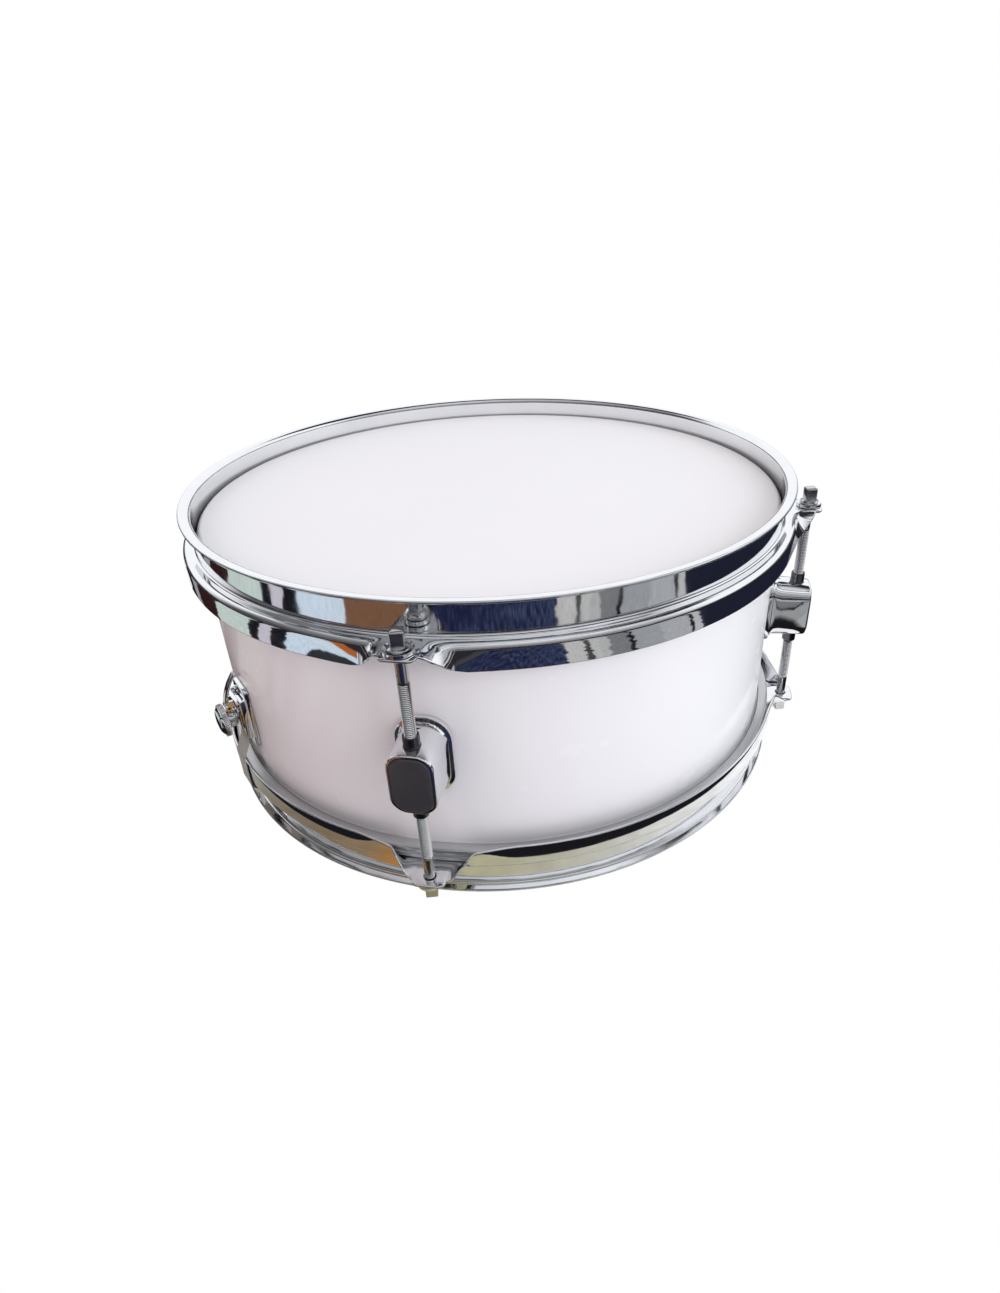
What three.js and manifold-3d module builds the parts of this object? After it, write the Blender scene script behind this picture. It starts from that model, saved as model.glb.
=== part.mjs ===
// A 14 inch marching snare drum with four double-ended lugs, standing on its snare-side hoop.
// Lengths are in millimetres. +Z is the drum's axis, and the origin is on the floor under its middle.

import * as THREE from 'three';
import { mergeVertices } from 'three/addons/utils/BufferGeometryUtils.js';
import Module from 'manifold-3d';

const wasm = await Module();
wasm.setup();

// Driving sizes of the whole drum
const shellRadius = 177;
const shellWall = 6;
const shellDepth = 150;
const lipRise = 12.75;
const gap = 0.3;
const overrun = 1;

// Facets
const ringSteps = 48;
const rodSteps = 8;
const holeSteps = 8;
const cornerSteps = 3;

// Shell: plies rolled to a tube, with a bearing edge at both ends and two snare beds
const crestInset = 1.4;
const crestRound = 2.2;
const ventRadius = 5;
const bedHalfWidth = 55;
const bedDepth = 1.2;

// Drum heads: a film pressed into a flesh hoop
const filmThickness = 0.35;
const fleshWidth = 6.2;
const fleshHeight = 8;

// Counter hoops: one strip bent three times, with an ear for each rod
const sheet = 1.5;
const lipReach = 4.5;
const bandHeight = 19.5;
const bendReach = 1.8;
const skirtClearance = 1.1;
const skirtDrop = 14;
const rodStandoff = 7.65;
const shoulderLength = 2.4;
const earMargin = 6.6;
const earTipHalfWidth = 9;
const earRootHalfWidth = 23;
const earTuck = 2.6;
const earHoleClearance = 0.6;
const gateWidth = 60;
const gateSill = 2.6;
const gateHead = 17;
const gateCorner = 3;

// Tension rods: M6 thread, reduced shank, flange and square key head
const threadRadius = 3;
const shankRadius = 2.85;
const shankLength = 15;
const flangeRadius = 5.4;
const flangeThickness = 1.6;
const keyFlats = 6.35;
const keyHeight = 8;
const keyChamfer = 0.8;
const keyTurn = Math.PI / 12;
const washerRadius = 7.2;
const washerThickness = 1.2;
const washerRimWidth = 1.3;
const washerRimHeight = 0.9;

// Lugs: hollow castings on an oblong foot, with a dark inlay in the face
const lugFootWidth = 29;
const lugFootHeight = 46;
const lugFootCorner = 13;
const lugFootThickness = 2.4;
const lugStep = 1.3;
const lugWaistWidth = 24.4;
const lugWaistHeight = 38;
const lugWaistRise = 4.5;
const lugFaceWidth = 22.4;
const lugFaceHeight = 33.4;
const lugFaceCorner = 8.5;
const lugFaceReach = 8;
const lugFaceBevel = 1.2;
const inlayRim = 0.7;
const inlayDepth = 1;
const inlayCrown = 0.8;
const pocketWallTop = 6;
const pocketSideWall = 4.8;
const pocketFrontWall = 1.4;
const nutWall = 0.8;
const nutCollar = 7.5;
const nutFlangeReach = 1.5;
const nutFlangeThickness = 3;
const nutTail = 3;
const rodEndInset = 1;

// Machine screws that hold the lugs and brackets from inside the shell
const screwRadius = 1.9;
const screwSpacing = 34;
const screwBite = 6;
const screwFlangeRadius = 5.2;
const screwFlangeThickness = 1.2;
const screwHexRadius = 4;
const screwHexHeight = 2.8;

// Snares: steel strands between two end plates, pulled by a strap at each end
const strandCount = 16;
const strandPitch = 2.6;
const strandSize = 1.8;
const plateInset = 16;
const plateLength = 11;
const plateThickness = 1.6;
const strapWidth = 14;
const strapThickness = 0.6;
const strapOverlap = 10;
const strapHoopClearance = 0.5;
const strapElbowDrop = 1;
const strapSlant = 10.5;
const strapLeadIn = 8.5;
const strapTail = 8;

// Strainer: bracket, lever, slider, clamp plate and thumbscrew
const strainerRise = 32.5;
const footPlate = 2.2;
const cheekInner = 8.7;
const cheekWall = 1.6;
const bracketBelow = 20;
const bracketAbove = 20;
const bracketScrewInset = 4;
const railBelow = 11;
const railAbove = 13;
const railLip = 1.3;
const railLipThickness = 1;
const bridgeDrop = 2.8;
const bridgeThickness = 1.5;
const pivotEar = 1.8;
const pivotEarThickness = 1.4;
const sliderThickness = 2;
const sliderBelow = 13;
const sliderAbove = 11;
const sliderCorner = 3;
const clampThickness = 1.2;
const clampWidth = 13;
const clampHeight = 15;
const clampCorner = 2.5;
const thumbShaftRadius = 2;
const thumbHubRadius = 5.5;
const thumbHubLength = 5.5;
const thumbDiscRadius = 9.8;
const thumbDiscThickness = 3;
const thumbDomeRadius = 7;
const thumbDomeHeight = 2;
const thumbKnurls = 20;
const thumbKnurlDepth = 0.6;
const pivotRise = 8.2;
const pivotStandoff = 10.6;
const pivotRadius = 0.7;
const leverBarrelRadius = 1.7;
const leverWidth = 3.8;
const leverThickness = 2;
const leverRise = 19.7;
const leverLean = 7.9;

// Butt end: block and clamp bar on the far side of the drum
const buttWidth = 32;
const buttBelow = 14;
const buttAbove = 14;
const buttCorner = 4;
const buttScrewReach = 10;
const buttBarHeight = 12;
const buttBarThickness = 1.8;
const buttBarHead = 3.4;
const buttBarHeadHeight = 2.2;
const buttBarBite = 3.2;

// Heights and radii that follow from the sizes above
const overallHeight = shellDepth + 2 * lipRise;
const midHeight = overallHeight / 2;
const shellTop = midHeight + shellDepth / 2;
const shellBottom = midHeight - shellDepth / 2;
const shellInner = shellRadius - shellWall;
const shellInnerFlat = shellInner * Math.cos(Math.PI / ringSteps);
const filmInner = shellRadius + gap;
const filmOuter = filmInner + filmThickness;
const headTop = shellTop + gap + filmThickness;
const ledgeTop = overallHeight - bandHeight;
const fleshInner = filmOuter + gap;
const fleshOuter = fleshInner + fleshWidth;
const fleshTop = ledgeTop - sheet - gap;
const bandCentre = fleshInner + sheet / 2;
const skirtOuter = fleshOuter + skirtClearance + sheet;
const rodCircle = skirtOuter + rodStandoff;
const strainerHeight = bandHeight + skirtDrop + strainerRise;
const lugDepth = rodCircle + lugFaceReach - shellRadius;
const lugTop = midHeight + lugFaceHeight / 2;
const nutBore = threadRadius + gap;
const nutOuter = nutBore + nutWall;
const nutFlange = nutOuter + nutFlangeReach;
const pocketHalfHeight = lugFaceHeight / 2 - pocketWallTop;
const nutTop = lugTop + nutCollar;
const nutBottom = midHeight + pocketHalfHeight - gap - nutFlangeThickness - nutTail;
const strapOuterFace = skirtOuter + strapHoopClearance;
const snareFilmFace = shellBottom - gap - filmThickness;
const plateBottom = snareFilmFace - gap - strandSize - plateThickness / 2;
const plateReach = shellInner - plateInset;
const plateWidth = (strandCount - 1) * strandPitch + strandSize + strandPitch;
const footFace = shellRadius + gap + footPlate;
const sliderFace = footFace + gap + sliderThickness;
const strapClampCentre = sliderFace + gap + strapThickness / 2;
const clampFace = sliderFace + 2 * gap + strapThickness;

// Angles, in degrees, at which the pieces stand round the shell
const lugPlaces = { front: -90, right: 0, back: 90, left: 180 };
const strainerAngle = -135;
const buttAngle = 45;
const ventAngle = 135;
const endSigns = { top: 1, bottom: -1 };

// Materials
const finish = (color, roughness, metalness) => () => (
  new THREE.MeshStandardMaterial({ color, roughness, metalness })
);
const whiteLacquer = finish(0xf1eff2, 0.15, 0);
const coatedFilm = finish(0xf4f5f6, 0.45, 0);
const chrome = finish(0xd6d8dc, 0.08, 1);
const aluminium = finish(0xa9abad, 0.4, 1);
const charcoal = finish(0x2b2a2d, 0.3, 0);
const darkSteel = finish(0x55565a, 0.3, 1);
const snareSteel = finish(0xb5b6b8, 0.35, 1);
const strapPlastic = finish(0xc9c9c6, 0.5, 0);

const drum = new THREE.Group();

// Solids

function signedVolume(position, index) {
  const [a, b, c] = [new THREE.Vector3(), new THREE.Vector3(), new THREE.Vector3()];
  let total = 0;
  for (let i = 0; i < index.count; i += 3) {
    a.fromBufferAttribute(position, index.getX(i));
    b.fromBufferAttribute(position, index.getX(i + 1));
    c.fromBufferAttribute(position, index.getX(i + 2));
    total += a.dot(b.cross(c));
  }
  return total;
}

function solid(geometry) {
  const bare = geometry.clone();
  bare.deleteAttribute('normal');
  bare.deleteAttribute('uv');
  const merged = mergeVertices(bare);
  const triVerts = Uint32Array.from(merged.index.array);
  if (signedVolume(merged.attributes.position, merged.index) < 0) {
    for (let i = 0; i < triVerts.length; i += 3) {
      [triVerts[i], triVerts[i + 1]] = [triVerts[i + 1], triVerts[i]];
    }
  }
  const vertProperties = Float32Array.from(merged.attributes.position.array);
  const mesh = new wasm.Mesh({ numProp: 3, vertProperties, triVerts });
  mesh.merge();
  return new wasm.Manifold(mesh);
}

function geometryOf(manifold) {
  const mesh = manifold.getMesh();
  const geometry = new THREE.BufferGeometry();
  geometry.setAttribute('position', new THREE.Float32BufferAttribute(mesh.vertProperties, mesh.numProp));
  geometry.setIndex(Array.from(mesh.triVerts));
  const flat = geometry.toNonIndexed();
  flat.computeVertexNormals();
  return flat;
}

const asSolid = (shape) => (shape.isBufferGeometry ? solid(shape) : shape);

function join(...pieces) {
  return pieces.map(asSolid).reduce((whole, piece) => whole.add(piece));
}

function cut(piece, ...tools) {
  return tools.map(asSolid).reduce((whole, tool) => whole.subtract(tool), asSolid(piece));
}

function put(group, name, shape, material) {
  const mesh = new THREE.Mesh(geometryOf(asSolid(shape)), material());
  mesh.name = name;
  group.add(mesh);
}

function station(degrees) {
  const group = new THREE.Group();
  group.rotation.z = THREE.MathUtils.degToRad(degrees);
  drum.add(group);
  return group;
}

// Shapes

function turned(profile, steps) {
  const points = profile.map(([radius, height]) => new THREE.Vector2(radius, height));
  const onAxis = points[0].x === 0 && points.at(-1).x === 0;
  if (!onAxis) points.push(points[0].clone());
  return new THREE.LatheGeometry(points, steps).rotateX(Math.PI / 2);
}

function rod(radius, from, to, steps) {
  return turned([[0, from], [radius, from], [radius, to], [0, to]], steps);
}

function radialRod(radius, from, to, height, steps) {
  return rod(radius, from, to, steps).rotateY(Math.PI / 2).translate(0, 0, height);
}

function crossRod(radius, halfLength, place, steps) {
  return rod(radius, -halfLength, halfLength, steps).rotateX(Math.PI / 2).translate(place.x, 0, place.y);
}

function block(from, to, halfWidth, low, high) {
  const box = new THREE.BoxGeometry(to - from, 2 * halfWidth, high - low);
  return box.translate((from + to) / 2, 0, (low + high) / 2);
}

function roundedOutline(width, height, corner) {
  const outline = [];
  const [reachX, reachY] = [width / 2 - corner, height / 2 - corner];
  [[1, 1], [-1, 1], [-1, -1], [1, -1]].forEach(([signX, signY], quarter) => {
    for (let step = 0; step < cornerSteps; step += 1) {
      const turn = (quarter + step / (cornerSteps - 1)) * (Math.PI / 2);
      const [alongX, alongY] = [corner * Math.cos(turn), corner * Math.sin(turn)];
      outline.push(new THREE.Vector2(signX * reachX + alongX, signY * reachY + alongY));
    }
  });
  return outline;
}

// A rounded plate that stands on the radial axis, from one radius to another
function radialPlate(width, height, corner, from, to, centreHeight) {
  const rings = [from, to].map((reach) => ({ reach, outline: roundedOutline(width, height, corner) }));
  return loftOutwards(rings, centreHeight);
}

function loftOutwards(rings, centreHeight) {
  const loops = rings.map(({ reach, outline }) => (
    outline.map((p) => new THREE.Vector3(reach, p.x, centreHeight + p.y))
  ));
  return loft(loops, false);
}

// Skins a list of loops of equal length: closed in a circle, or with a flat cap at both ends
function loft(loops, circular) {
  const size = loops[0].length;
  const index = [];
  const spans = circular ? loops.length : loops.length - 1;
  for (let i = 0; i < spans; i += 1) {
    const [near, far] = [i * size, ((i + 1) % loops.length) * size];
    for (let k = 0; k < size; k += 1) {
      const next = (k + 1) % size;
      index.push(near + k, near + next, far + next, near + k, far + next, far + k);
    }
  }
  if (!circular) {
    const last = (loops.length - 1) * size;
    for (let k = 1; k < size - 1; k += 1) {
      index.push(0, k + 1, k);
      index.push(last, last + k, last + k + 1);
    }
  }
  const geometry = new THREE.BufferGeometry().setFromPoints(loops.flat());
  geometry.setIndex(index);
  return geometry;
}

// The outline of a strip of even thickness along a line of points
function ribbon(line, thickness) {
  const side = (offset) => line.map((point, i) => {
    const before = line[Math.max(i - 1, 0)];
    const after = line[Math.min(i + 1, line.length - 1)];
    const into = (i > 0 ? point.clone().sub(before) : after.clone().sub(point)).normalize();
    const out = (i < line.length - 1 ? after.clone().sub(point) : into.clone()).normalize();
    const mean = into.clone().add(out).normalize();
    const reach = offset / mean.dot(into);
    return new THREE.Vector2(point.x - mean.y * reach, point.y + mean.x * reach);
  });
  return [...side(thickness / 2), ...side(-thickness / 2).reverse()];
}

// A strip whose side outline lies in the radial plane, as wide as the strip
function radialStrip(line, thickness, width) {
  const shape = new THREE.Shape(ribbon(line, thickness));
  const strip = new THREE.ExtrudeGeometry(shape, { depth: width, bevelEnabled: false, curveSegments: 1 });
  return strip.translate(0, 0, -width / 2).rotateX(Math.PI / 2);
}

const point = (x, y) => new THREE.Vector2(x, y);
const mirrored = (geometry) => geometry.clone().scale(1, 1, -1).translate(0, 0, overallHeight);

// Shell

const shellHoles = [];
for (const angle of Object.values(lugPlaces)) {
  for (const sign of Object.values(endSigns)) {
    shellHoles.push({ angle, height: midHeight + sign * screwSpacing / 2, radius: screwRadius + gap });
  }
}
const strainerScrewHeights = {
  upper: strainerHeight + bracketAbove - bracketScrewInset,
  lower: strainerHeight - bracketBelow + bracketScrewInset,
};
const buttScrewHeights = [strainerHeight - buttScrewReach, strainerHeight + buttScrewReach];
for (const height of Object.values(strainerScrewHeights)) {
  shellHoles.push({ angle: strainerAngle, height, radius: screwRadius + gap });
}
for (const height of buttScrewHeights) {
  shellHoles.push({ angle: buttAngle, height, radius: screwRadius + gap });
}
shellHoles.push({ angle: ventAngle, height: midHeight, radius: ventRadius });

function shellHole({ angle, height, radius }) {
  const drill = radialRod(radius, shellInner - overrun, shellRadius + overrun, height, holeSteps);
  return drill.rotateZ(THREE.MathUtils.degToRad(angle));
}

// A shallow hollow in the snare-side edge, where the strap crosses it
function snareBed(angle) {
  const widthShares = [1, 0.66, 0.33, 0, -0.33, -0.66, -1];
  const bed = widthShares.map((share) => (
    point(share * bedHalfWidth, shellBottom + bedDepth * (1 - share * share))
  ));
  const low = shellBottom - overrun;
  const shape = new THREE.Shape([point(-bedHalfWidth, low), point(bedHalfWidth, low), ...bed]);
  const tool = new THREE.ExtrudeGeometry(shape, { depth: shellRadius + overrun, bevelEnabled: false });
  return tool.rotateX(Math.PI / 2).rotateZ(Math.PI / 2 + THREE.MathUtils.degToRad(angle));
}

const crestRadius = shellRadius - crestInset;
const innerSlope = crestRadius - shellInner;
const shellProfile = [
  [shellInner, shellBottom + innerSlope],
  [crestRadius, shellBottom],
  [shellRadius, shellBottom + crestRound],
  [shellRadius, shellTop - crestRound],
  [crestRadius, shellTop],
  [shellInner, shellTop - innerSlope],
];
const snareBeds = [strainerAngle, buttAngle].map(snareBed);
const shellTube = cut(turned(shellProfile, ringSteps), ...shellHoles.map(shellHole), ...snareBeds);
put(drum, 'shell', shellTube, whiteLacquer);

// Heads

const collarEnd = fleshTop - fleshHeight + gap;
const headProfile = [
  [0, headTop],
  [crestRadius, headTop],
  [filmOuter, shellTop - crestRound + gap],
  [filmOuter, collarEnd],
  [filmInner, collarEnd],
  [filmInner, shellTop - crestRound + gap],
  [crestRadius, headTop - filmThickness],
  [0, headTop - filmThickness],
];
const fleshProfile = [
  [fleshInner, fleshTop - fleshHeight],
  [fleshOuter, fleshTop - fleshHeight],
  [fleshOuter, fleshTop],
  [fleshInner, fleshTop],
];
const head = turned(headProfile, ringSteps);
const fleshRing = turned(fleshProfile, ringSteps);
put(drum, 'batter_head', head, coatedFilm);
put(drum, 'snare_head', mirrored(head), coatedFilm);
put(drum, 'batter_flesh_hoop', fleshRing, aluminium);
put(drum, 'snare_flesh_hoop', mirrored(fleshRing), aluminium);

// Counter hoops: the strip's section, whose skirt swings up and out into an ear as lift goes from 0 to 1.
// Its edge is tucked in halfway, where the ear's flank turns

function hoopSection(lift) {
  const ledge = ledgeTop - sheet / 2;
  const lip = overallHeight - sheet / 2;
  const shoulderStart = skirtOuter - sheet / 2 - shoulderLength * Math.SQRT1_2;
  const turn = (1 - lift) * (Math.PI / 2);
  const shoulder = point(
    shoulderStart + shoulderLength * Math.cos(turn / 2),
    ledge - shoulderLength * Math.sin(turn / 2),
  );
  const skirtLength = skirtDrop - sheet / 2 - shoulderLength * Math.SQRT1_2;
  const earLength = rodCircle + earMargin - shoulderStart - shoulderLength;
  const tuck = 4 * lift * (1 - lift) * earTuck;
  const length = THREE.MathUtils.lerp(skirtLength, earLength, lift) - tuck;
  return ribbon([
    point(bandCentre + sheet / 2 + lipReach, lip),
    point(bandCentre + bendReach, lip),
    point(bandCentre, lip - bendReach),
    point(bandCentre, ledge + bendReach),
    point(bandCentre + bendReach, ledge),
    point(shoulderStart, ledge),
    shoulder,
    point(shoulder.x + length * Math.cos(turn), shoulder.y - length * Math.sin(turn)),
  ], sheet);
}

// Places round the hoop: close together on an ear's flanks, where the skirt swings up, and even between ears
function hoopStations() {
  const { degToRad, euclideanModulo, lerp, smoothstep } = THREE.MathUtils;
  const tip = Math.asin(earTipHalfWidth / rodCircle);
  const root = Math.asin(earRootHalfWidth / skirtOuter);
  const flankShares = [0, 0.3, 0.55, 0.78, 1];
  const stations = [];
  for (const degrees of Object.values(lugPlaces)) {
    for (const share of flankShares) {
      const fromCentre = lerp(tip, root, share);
      const lift = smoothstep(1 - share, 0, 1);
      stations.push({ angle: degToRad(degrees) + fromCentre, lift });
      stations.push({ angle: degToRad(degrees) - fromCentre, lift });
    }
  }
  const [quarter, half, pitch] = [Math.PI / 2, Math.PI / 4, 2 * Math.PI / ringSteps];
  for (let step = 0; step < ringSteps; step += 1) {
    const angle = step * pitch;
    const fromEar = Math.abs(euclideanModulo(angle + half, quarter) - half);
    if (fromEar > root + pitch / 4) stations.push({ angle, lift: 0 });
  }
  const order = ({ angle }) => euclideanModulo(angle, 2 * Math.PI);
  return stations.sort((a, b) => order(a) - order(b));
}

const hoopLoops = hoopStations().map(({ angle, lift }) => (
  hoopSection(lift).map((p) => new THREE.Vector3(p.x * Math.cos(angle), p.x * Math.sin(angle), p.y))
));
const hoopStrip = loft(hoopLoops, true);
const earHoleRadius = threadRadius + earHoleClearance;
const earDrills = Object.values(lugPlaces).map((degrees) => {
  const drill = rod(earHoleRadius, ledgeTop - sheet - overrun, ledgeTop + overrun, holeSteps);
  return drill.translate(rodCircle, 0, 0).rotateZ(THREE.MathUtils.degToRad(degrees));
});
const batterHoop = cut(hoopStrip, ...earDrills);
put(drum, 'batter_hoop', batterHoop, chrome);

// The snare-side hoop has two gates in its band, where the straps come out
function gate(angle) {
  const sagitta = bandCentre - Math.sqrt(bandCentre ** 2 - (gateWidth / 2) ** 2);
  const from = bandCentre - sagitta - sheet - overrun;
  const to = bandCentre + sheet + overrun;
  const middle = (gateHead + gateSill) / 2;
  const tool = radialPlate(gateWidth, gateHead - gateSill, gateCorner, from, to, middle);
  return tool.rotateZ(THREE.MathUtils.degToRad(angle));
}
const snareHoop = cut(mirrored(geometryOf(batterHoop)), gate(strainerAngle), gate(buttAngle));
put(drum, 'snare_hoop', snareHoop, chrome);

// Tension rods and their washers, modelled for the batter side and mirrored for the snare side

const washerBottom = ledgeTop + gap;
const washerTop = washerBottom + washerThickness;
const washerBore = threadRadius + gap;
const washerProfile = [
  [washerBore, washerBottom],
  [washerRadius, washerBottom],
  [washerRadius, washerTop + washerRimHeight],
  [washerRadius - washerRimWidth, washerTop],
  [washerBore, washerTop],
];
const washer = turned(washerProfile, rodSteps);

const flangeBottom = washerTop + gap;
const flangeTop = flangeBottom + flangeThickness;
const keyTop = flangeTop + keyHeight;
const rodEnd = nutBottom + rodEndInset;
const threadTop = ledgeTop - shankLength;
const stemProfile = [
  [0, rodEnd],
  [threadRadius, rodEnd],
  [threadRadius, threadTop],
  [shankRadius, threadTop],
  [shankRadius, flangeBottom],
  [flangeRadius, flangeBottom],
  [flangeRadius, flangeTop],
  [0, flangeTop],
];
const keyCorner = keyFlats * Math.SQRT1_2;
const keySides = 4;
const keyProfile = [
  [0, flangeTop - flangeThickness / 2],
  [keyCorner, flangeTop - flangeThickness / 2],
  [keyCorner, keyTop - keyChamfer],
  [keyCorner - keyChamfer, keyTop],
  [0, keyTop],
];
const keyHead = turned(keyProfile, keySides).rotateZ(Math.PI / keySides + keyTurn);
const tensionRod = geometryOf(join(turned(stemProfile, rodSteps), keyHead));

// Lugs

function lugRings() {
  const waistAt = lugFootThickness + lugStep + lugWaistRise;
  const foot = roundedOutline(lugFootWidth, lugFootHeight, lugFootCorner);
  const stepCorner = lugFootCorner - lugStep;
  const step = roundedOutline(lugFootWidth - 2 * lugStep, lugFootHeight - 2 * lugStep, stepCorner);
  const waist = roundedOutline(lugWaistWidth, lugWaistHeight, (lugFootCorner + lugFaceCorner) / 2);
  const brow = roundedOutline(lugFaceWidth + lugFaceBevel, lugFaceHeight + lugFaceBevel, lugFaceCorner);
  const face = roundedOutline(lugFaceWidth, lugFaceHeight, lugFaceCorner);
  return [
    { reach: shellRadius - footPlate, outline: foot },
    { reach: shellRadius + lugFootThickness, outline: foot },
    { reach: shellRadius + lugFootThickness + lugStep, outline: step },
    { reach: shellRadius + waistAt, outline: waist },
    { reach: shellRadius + lugDepth - lugFaceBevel, outline: brow },
    { reach: shellRadius + lugDepth, outline: face },
  ];
}

function inlayPlate(inset, from, to, crown) {
  const outline = (trim) => (
    roundedOutline(lugFaceWidth - 2 * trim, lugFaceHeight - 2 * trim, lugFaceCorner - inset)
  );
  const rings = [{ reach: from, outline: outline(inset) }, { reach: to, outline: outline(inset) }];
  if (crown > 0) rings.push({ reach: to + crown, outline: outline(inset + crown) });
  return loftOutwards(rings, midHeight);
}

const shellBody = rod(shellRadius + gap, 0, overallHeight, ringSteps);
const lugFace = shellRadius + lugDepth;
const pocketFront = lugFace - inlayDepth - pocketFrontWall;
const pocketHalfWidth = lugFaceWidth / 2 - pocketSideWall;
const [pocketLow, pocketHigh] = [midHeight - pocketHalfHeight, midHeight + pocketHalfHeight];
const pocket = block(shellInner, pocketFront, pocketHalfWidth, pocketLow, pocketHigh);
const nutWay = rod(nutOuter + gap, midHeight - lugFootHeight, midHeight + lugFootHeight, holeSteps);
nutWay.translate(rodCircle, 0, 0);
const lugTaps = Object.values(endSigns).map((sign) => {
  const height = midHeight + sign * screwSpacing / 2;
  return radialRod(screwRadius + gap, shellInner, shellRadius + screwBite + gap, height, holeSteps);
});
const inlaySeat = inlayPlate(inlayRim, lugFace - inlayDepth, lugFace + overrun, 0);
const lugHollows = [shellBody, pocket, nutWay, ...lugTaps, inlaySeat];
const lugCasting = geometryOf(cut(loftOutwards(lugRings(), midHeight), ...lugHollows));
const lugInlay = inlayPlate(inlayRim + gap, lugFace - inlayDepth + gap, lugFace, inlayCrown);

const nutFlangeTop = pocketHigh - gap;
const nutProfile = [
  [nutBore, nutBottom],
  [nutOuter, nutBottom],
  [nutOuter, nutFlangeTop - nutFlangeThickness],
  [nutFlange, nutFlangeTop - nutFlangeThickness],
  [nutFlange, nutFlangeTop],
  [nutOuter, nutFlangeTop],
  [nutOuter, nutTop],
  [nutBore, nutTop],
];
const swivelNut = turned(nutProfile, rodSteps);

// A flanged hex screw that comes from inside the shell, with its point at the given radius
function shellScrew(reach, height) {
  const seat = shellInnerFlat - gap;
  const flange = radialRod(screwFlangeRadius, seat - screwFlangeThickness, seat, height, holeSteps);
  const hexSides = 6;
  const hexFrom = seat - screwFlangeThickness - screwHexHeight;
  const hex = radialRod(screwHexRadius, hexFrom, seat - screwFlangeThickness / 2, height, hexSides);
  const shaft = radialRod(screwRadius, seat - screwFlangeThickness / 2, reach, height, holeSteps);
  return geometryOf(join(flange, hex, shaft));
}

for (const [place, degrees] of Object.entries(lugPlaces)) {
  const group = station(degrees);
  put(group, `lug_${place}`, lugCasting, chrome);
  put(group, `lug_inlay_${place}`, lugInlay, charcoal);
  for (const [end, sign] of Object.entries(endSigns)) {
    const facing = (geometry) => (sign > 0 ? geometry : mirrored(geometry));
    const onRod = (geometry) => facing(geometry).clone().translate(rodCircle, 0, 0);
    const lugScrew = shellScrew(shellRadius + screwBite, midHeight + sign * screwSpacing / 2);
    put(group, `swivel_nut_${place}_${end}`, onRod(swivelNut), darkSteel);
    put(group, `tension_rod_${place}_${end}`, onRod(tensionRod), chrome);
    put(group, `rod_washer_${place}_${end}`, onRod(washer), chrome);
    put(group, `lug_screw_${place}_${end}`, lugScrew, darkSteel);
  }
}

// Snares and straps, laid out along the line from the strainer to the butt end

const strainer = station(strainerAngle);
const butt = station(buttAngle);

function snareSet() {
  const strandTop = snareFilmFace - gap;
  const ends = [-1, 1].map((sign) => {
    const plate = new THREE.BoxGeometry(plateLength, plateWidth, plateThickness);
    return plate.translate(sign * (plateReach - plateLength / 2), 0, plateBottom + plateThickness / 2);
  });
  const strands = Array.from({ length: strandCount }, (_, i) => {
    const across = (i - (strandCount - 1) / 2) * strandPitch;
    const strand = new THREE.BoxGeometry(2 * (plateReach - plateLength / 4), strandSize, strandSize);
    return strand.translate(0, across, strandTop - strandSize / 2);
  });
  return join(...ends, ...strands);
}
put(strainer, 'snare_wires', snareSet(), snareSteel);

// The strap runs out under the edge, through the gate, up outside the hoop and in to its clamp
function strapLine() {
  const under = plateBottom - gap - strapThickness / 2;
  const outside = strapOuterFace + strapThickness / 2;
  const slantTop = strainerHeight - clampHeight / 2 - strapLeadIn;
  return [
    point(plateReach - strapOverlap, under),
    point(shellRadius, under),
    point(outside, bandHeight - strapElbowDrop),
    point(outside, slantTop - strapSlant),
    point(strapClampCentre, slantTop),
    point(strapClampCentre, strainerHeight + strapTail),
  ];
}
const strap = radialStrip(strapLine(), strapThickness, strapWidth);
const thumbHole = radialRod(thumbShaftRadius + gap, shellRadius, rodCircle, strainerHeight, holeSteps);
put(strainer, 'strainer_strap', cut(strap, thumbHole), strapPlastic);
put(butt, 'butt_strap', strap, strapPlastic);

// Strainer bracket: a foot on the shell, two rails that hold the slider, and a bridge between them whose
// two ears carry the lever's pin

const pivot = point(shellRadius + pivotStandoff, strainerHeight + pivotRise);
const bracketBottom = strainerHeight - bracketBelow;
const bracketTop = strainerHeight + bracketAbove;
const cheekOuter = cheekInner + cheekWall;
const railFace = sliderFace + gap + railLipThickness;

const pivotEarInner = leverWidth / 2 + gap;
const pivotEarOuter = pivotEarInner + pivotEarThickness;

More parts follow.
